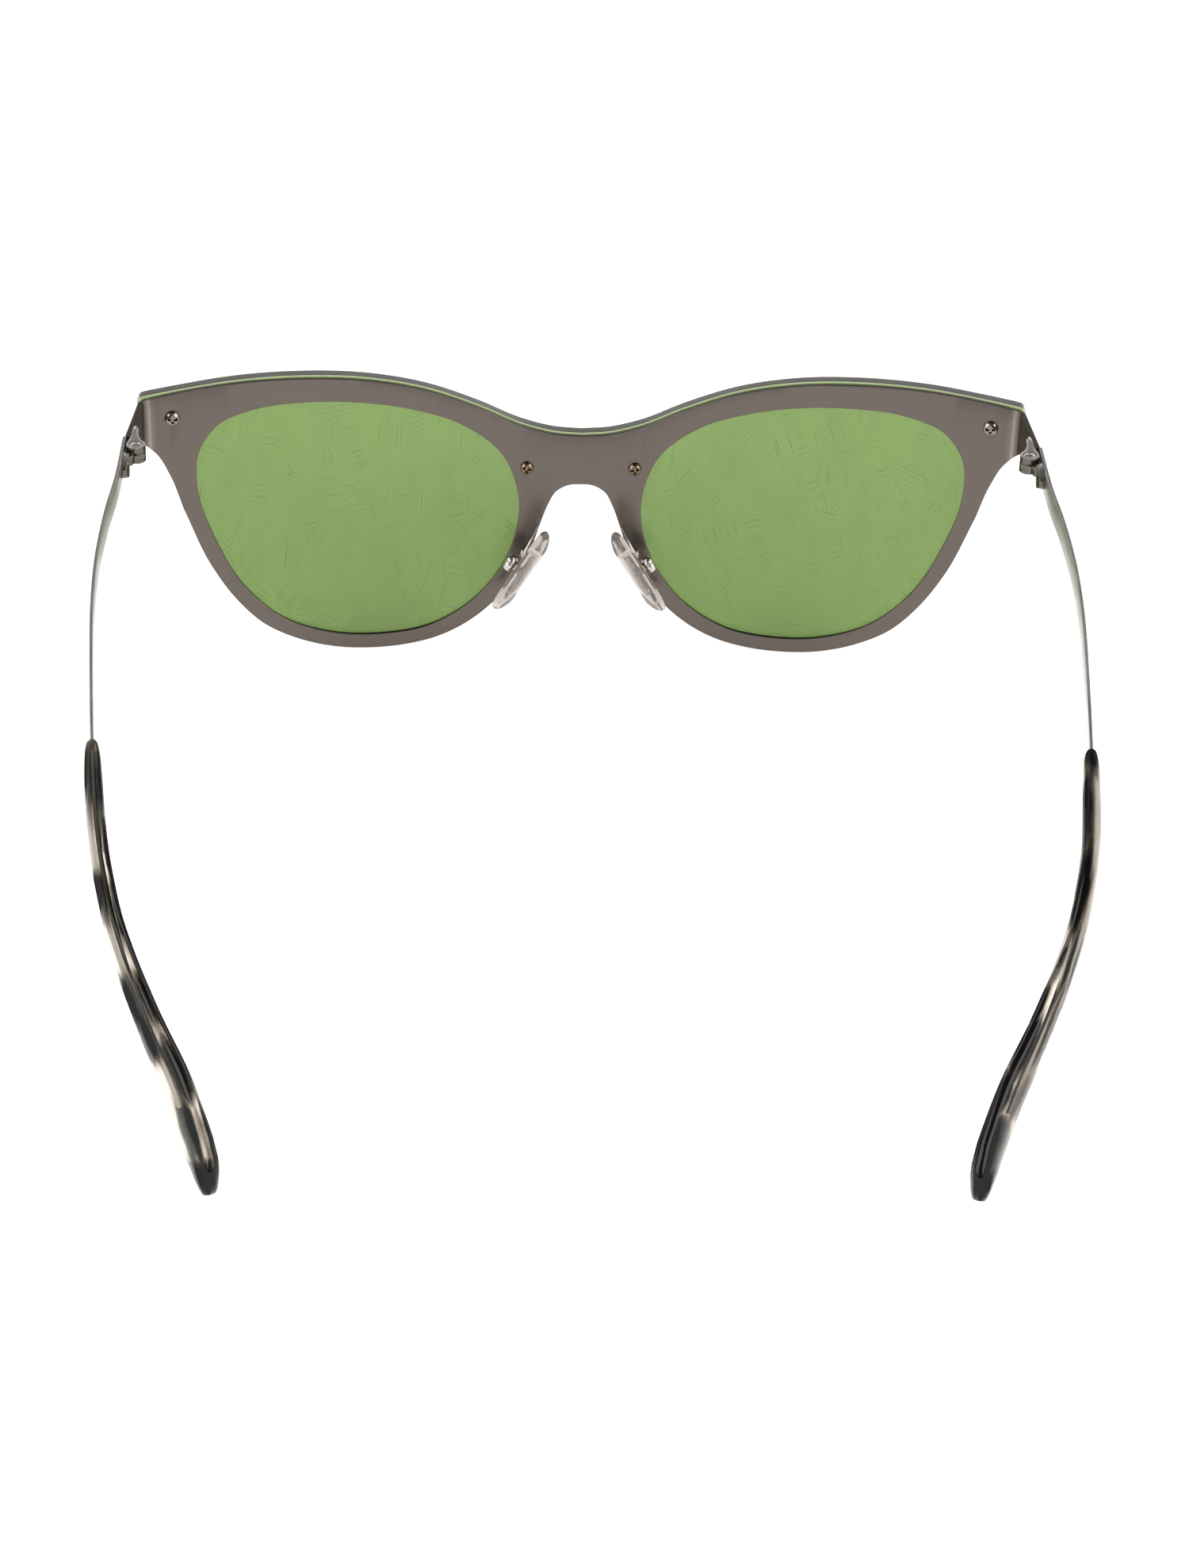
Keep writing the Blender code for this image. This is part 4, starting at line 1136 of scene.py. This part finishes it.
# The studio's light by height, as (0 at the horizon to 1 overhead, grey).
SKY_AHEAD = ((0.0, 1.25), (0.28, 1.05), (0.42, 0.68), (0.55, 0.33), (1.0, 0.12))
SKY_BEHIND = ((0.0, 0.20), (0.3, 0.22), (0.6, 0.28), (0.8, 0.22), (1.0, 0.18))

# Softboxes, in metres and watts: (name, place, aim, size, power)
SOFTBOXES = (
    ("softbox_over_left", (-1.3, 0.3, 1.1), (0, 0, 0), (0.6, 1.2), 11.0),
    ("softbox_over_right", (1.3, 0.3, 1.1), (0, 0, 0), (0.6, 1.2), 11.0),
    ("softbox_left", (-1.05, -0.85, 0.6), (0, 0, 0.02), (1.2, 1.0), 19.0),
    ("softbox_right", (1.05, -0.85, 0.6), (0, 0, 0.02), (1.2, 1.0), 19.0),
)

# The camera stands behind and above, a little to the wearer's left of the middle.
CAMERA_LENS = 87.58
CAMERA_SPOT = Vector((-13.5, -519.45, 323.49))
CAMERA_AHEAD = Vector((0.027, 0.8286, -0.5592))
CAMERA_RIGHT = Vector((0.9996, -0.017, 0.0232))


def build_floor():
    bpy.ops.mesh.primitive_plane_add(size=6.0, location=(0, 0, CAD_BOX[0].z - 0.0002))
    floor = bpy.context.object
    floor.name = "floor"
    look = Look("pale_floor", Roughness=0.9, Specular_IOR_Level=0.0, Emission_Strength=0.62)
    look.shader.inputs["Emission Color"].default_value = (1.0, 1.0, 1.0, 1.0)
    tone = look.mapped(look.noise(3.0, 2.0, 0.5), 0.3, 0.7)
    look.set(Base_Color=look.mixed(tone, (0.90, 0.90, 0.90), (0.92, 0.92, 0.92)))
    floor.data.materials.append(look.material)


def build_world():
    """Light from all round, brighter ahead of the glasses and near the horizon."""
    world = bpy.data.worlds.new("studio")
    bpy.context.scene.world = world
    world.use_nodes = True
    nodes, links = world.node_tree.nodes, world.node_tree.links
    nodes.clear()
    split = nodes.new("ShaderNodeSeparateXYZ")
    links.new(nodes.new("ShaderNodeTexCoord").outputs["Generated"], split.inputs[0])
    greys = []
    for stops in (SKY_AHEAD, SKY_BEHIND):
        ramp = nodes.new("ShaderNodeValToRGB")
        links.new(split.outputs["Z"], ramp.inputs[0])
        fill_ramp(ramp, [(at, (grey, grey, grey)) for at, grey in stops])
        greys.append(ramp.outputs["Color"])
    ahead = nodes.new("ShaderNodeMapRange")
    ahead.inputs["From Min"].default_value = -0.15
    ahead.inputs["From Max"].default_value = 0.45
    links.new(split.outputs["Y"], ahead.inputs["Value"])
    mix = nodes.new("ShaderNodeMix")
    mix.data_type = "RGBA"
    links.new(ahead.outputs["Result"], mix.inputs[0])
    links.new(greys[1], mix.inputs[6])
    links.new(greys[0], mix.inputs[7])
    back = nodes.new("ShaderNodeBackground")
    links.new(mix.outputs[2], back.inputs["Color"])
    links.new(back.outputs[0], nodes.new("ShaderNodeOutputWorld").inputs["Surface"])


def build_softboxes():
    for name, place, aim, size, power in SOFTBOXES:
        data = bpy.data.lights.new(name, "AREA")
        data.shape = "RECTANGLE"
        data.size, data.size_y = size
        data.energy = power
        lamp = bpy.data.objects.new(name, data)
        lamp.location = place
        lamp.rotation_euler = (Vector(aim) - Vector(place)).to_track_quat("-Z", "Y").to_euler()
        bpy.context.scene.collection.objects.link(lamp)


def build_camera():
    data = bpy.data.cameras.new("camera")
    data.lens = CAMERA_LENS
    data.sensor_width = 36.0
    data.clip_start = 0.01
    camera = bpy.data.objects.new("camera", data)
    spot = (CAMERA_SPOT + SHIFT) * MM
    ahead = CAMERA_AHEAD.normalized()
    right = (CAMERA_RIGHT - ahead * CAMERA_RIGHT.dot(ahead)).normalized()
    axes = Matrix((right, right.cross(ahead), -ahead)).transposed().to_4x4()
    camera.matrix_world = Matrix.Translation(spot) @ axes
    bpy.context.scene.collection.objects.link(camera)
    bpy.context.scene.camera = camera
    bpy.context.scene.view_settings.view_transform = "Standard"


build_front()
build_lens()
build_lens_fixings()
for side_name, side in SIDES:
    build_hinges(side_name, side)
    build_temple(side_name, side)
    build_tip(side_name, side, horn_look(f"clouded_horn_{side_name}", HORN[side_name]))
    build_nose_pad(side_name, side)
build_floor()
build_world()
build_softboxes()
build_camera()

bpy.context.view_layer.update()
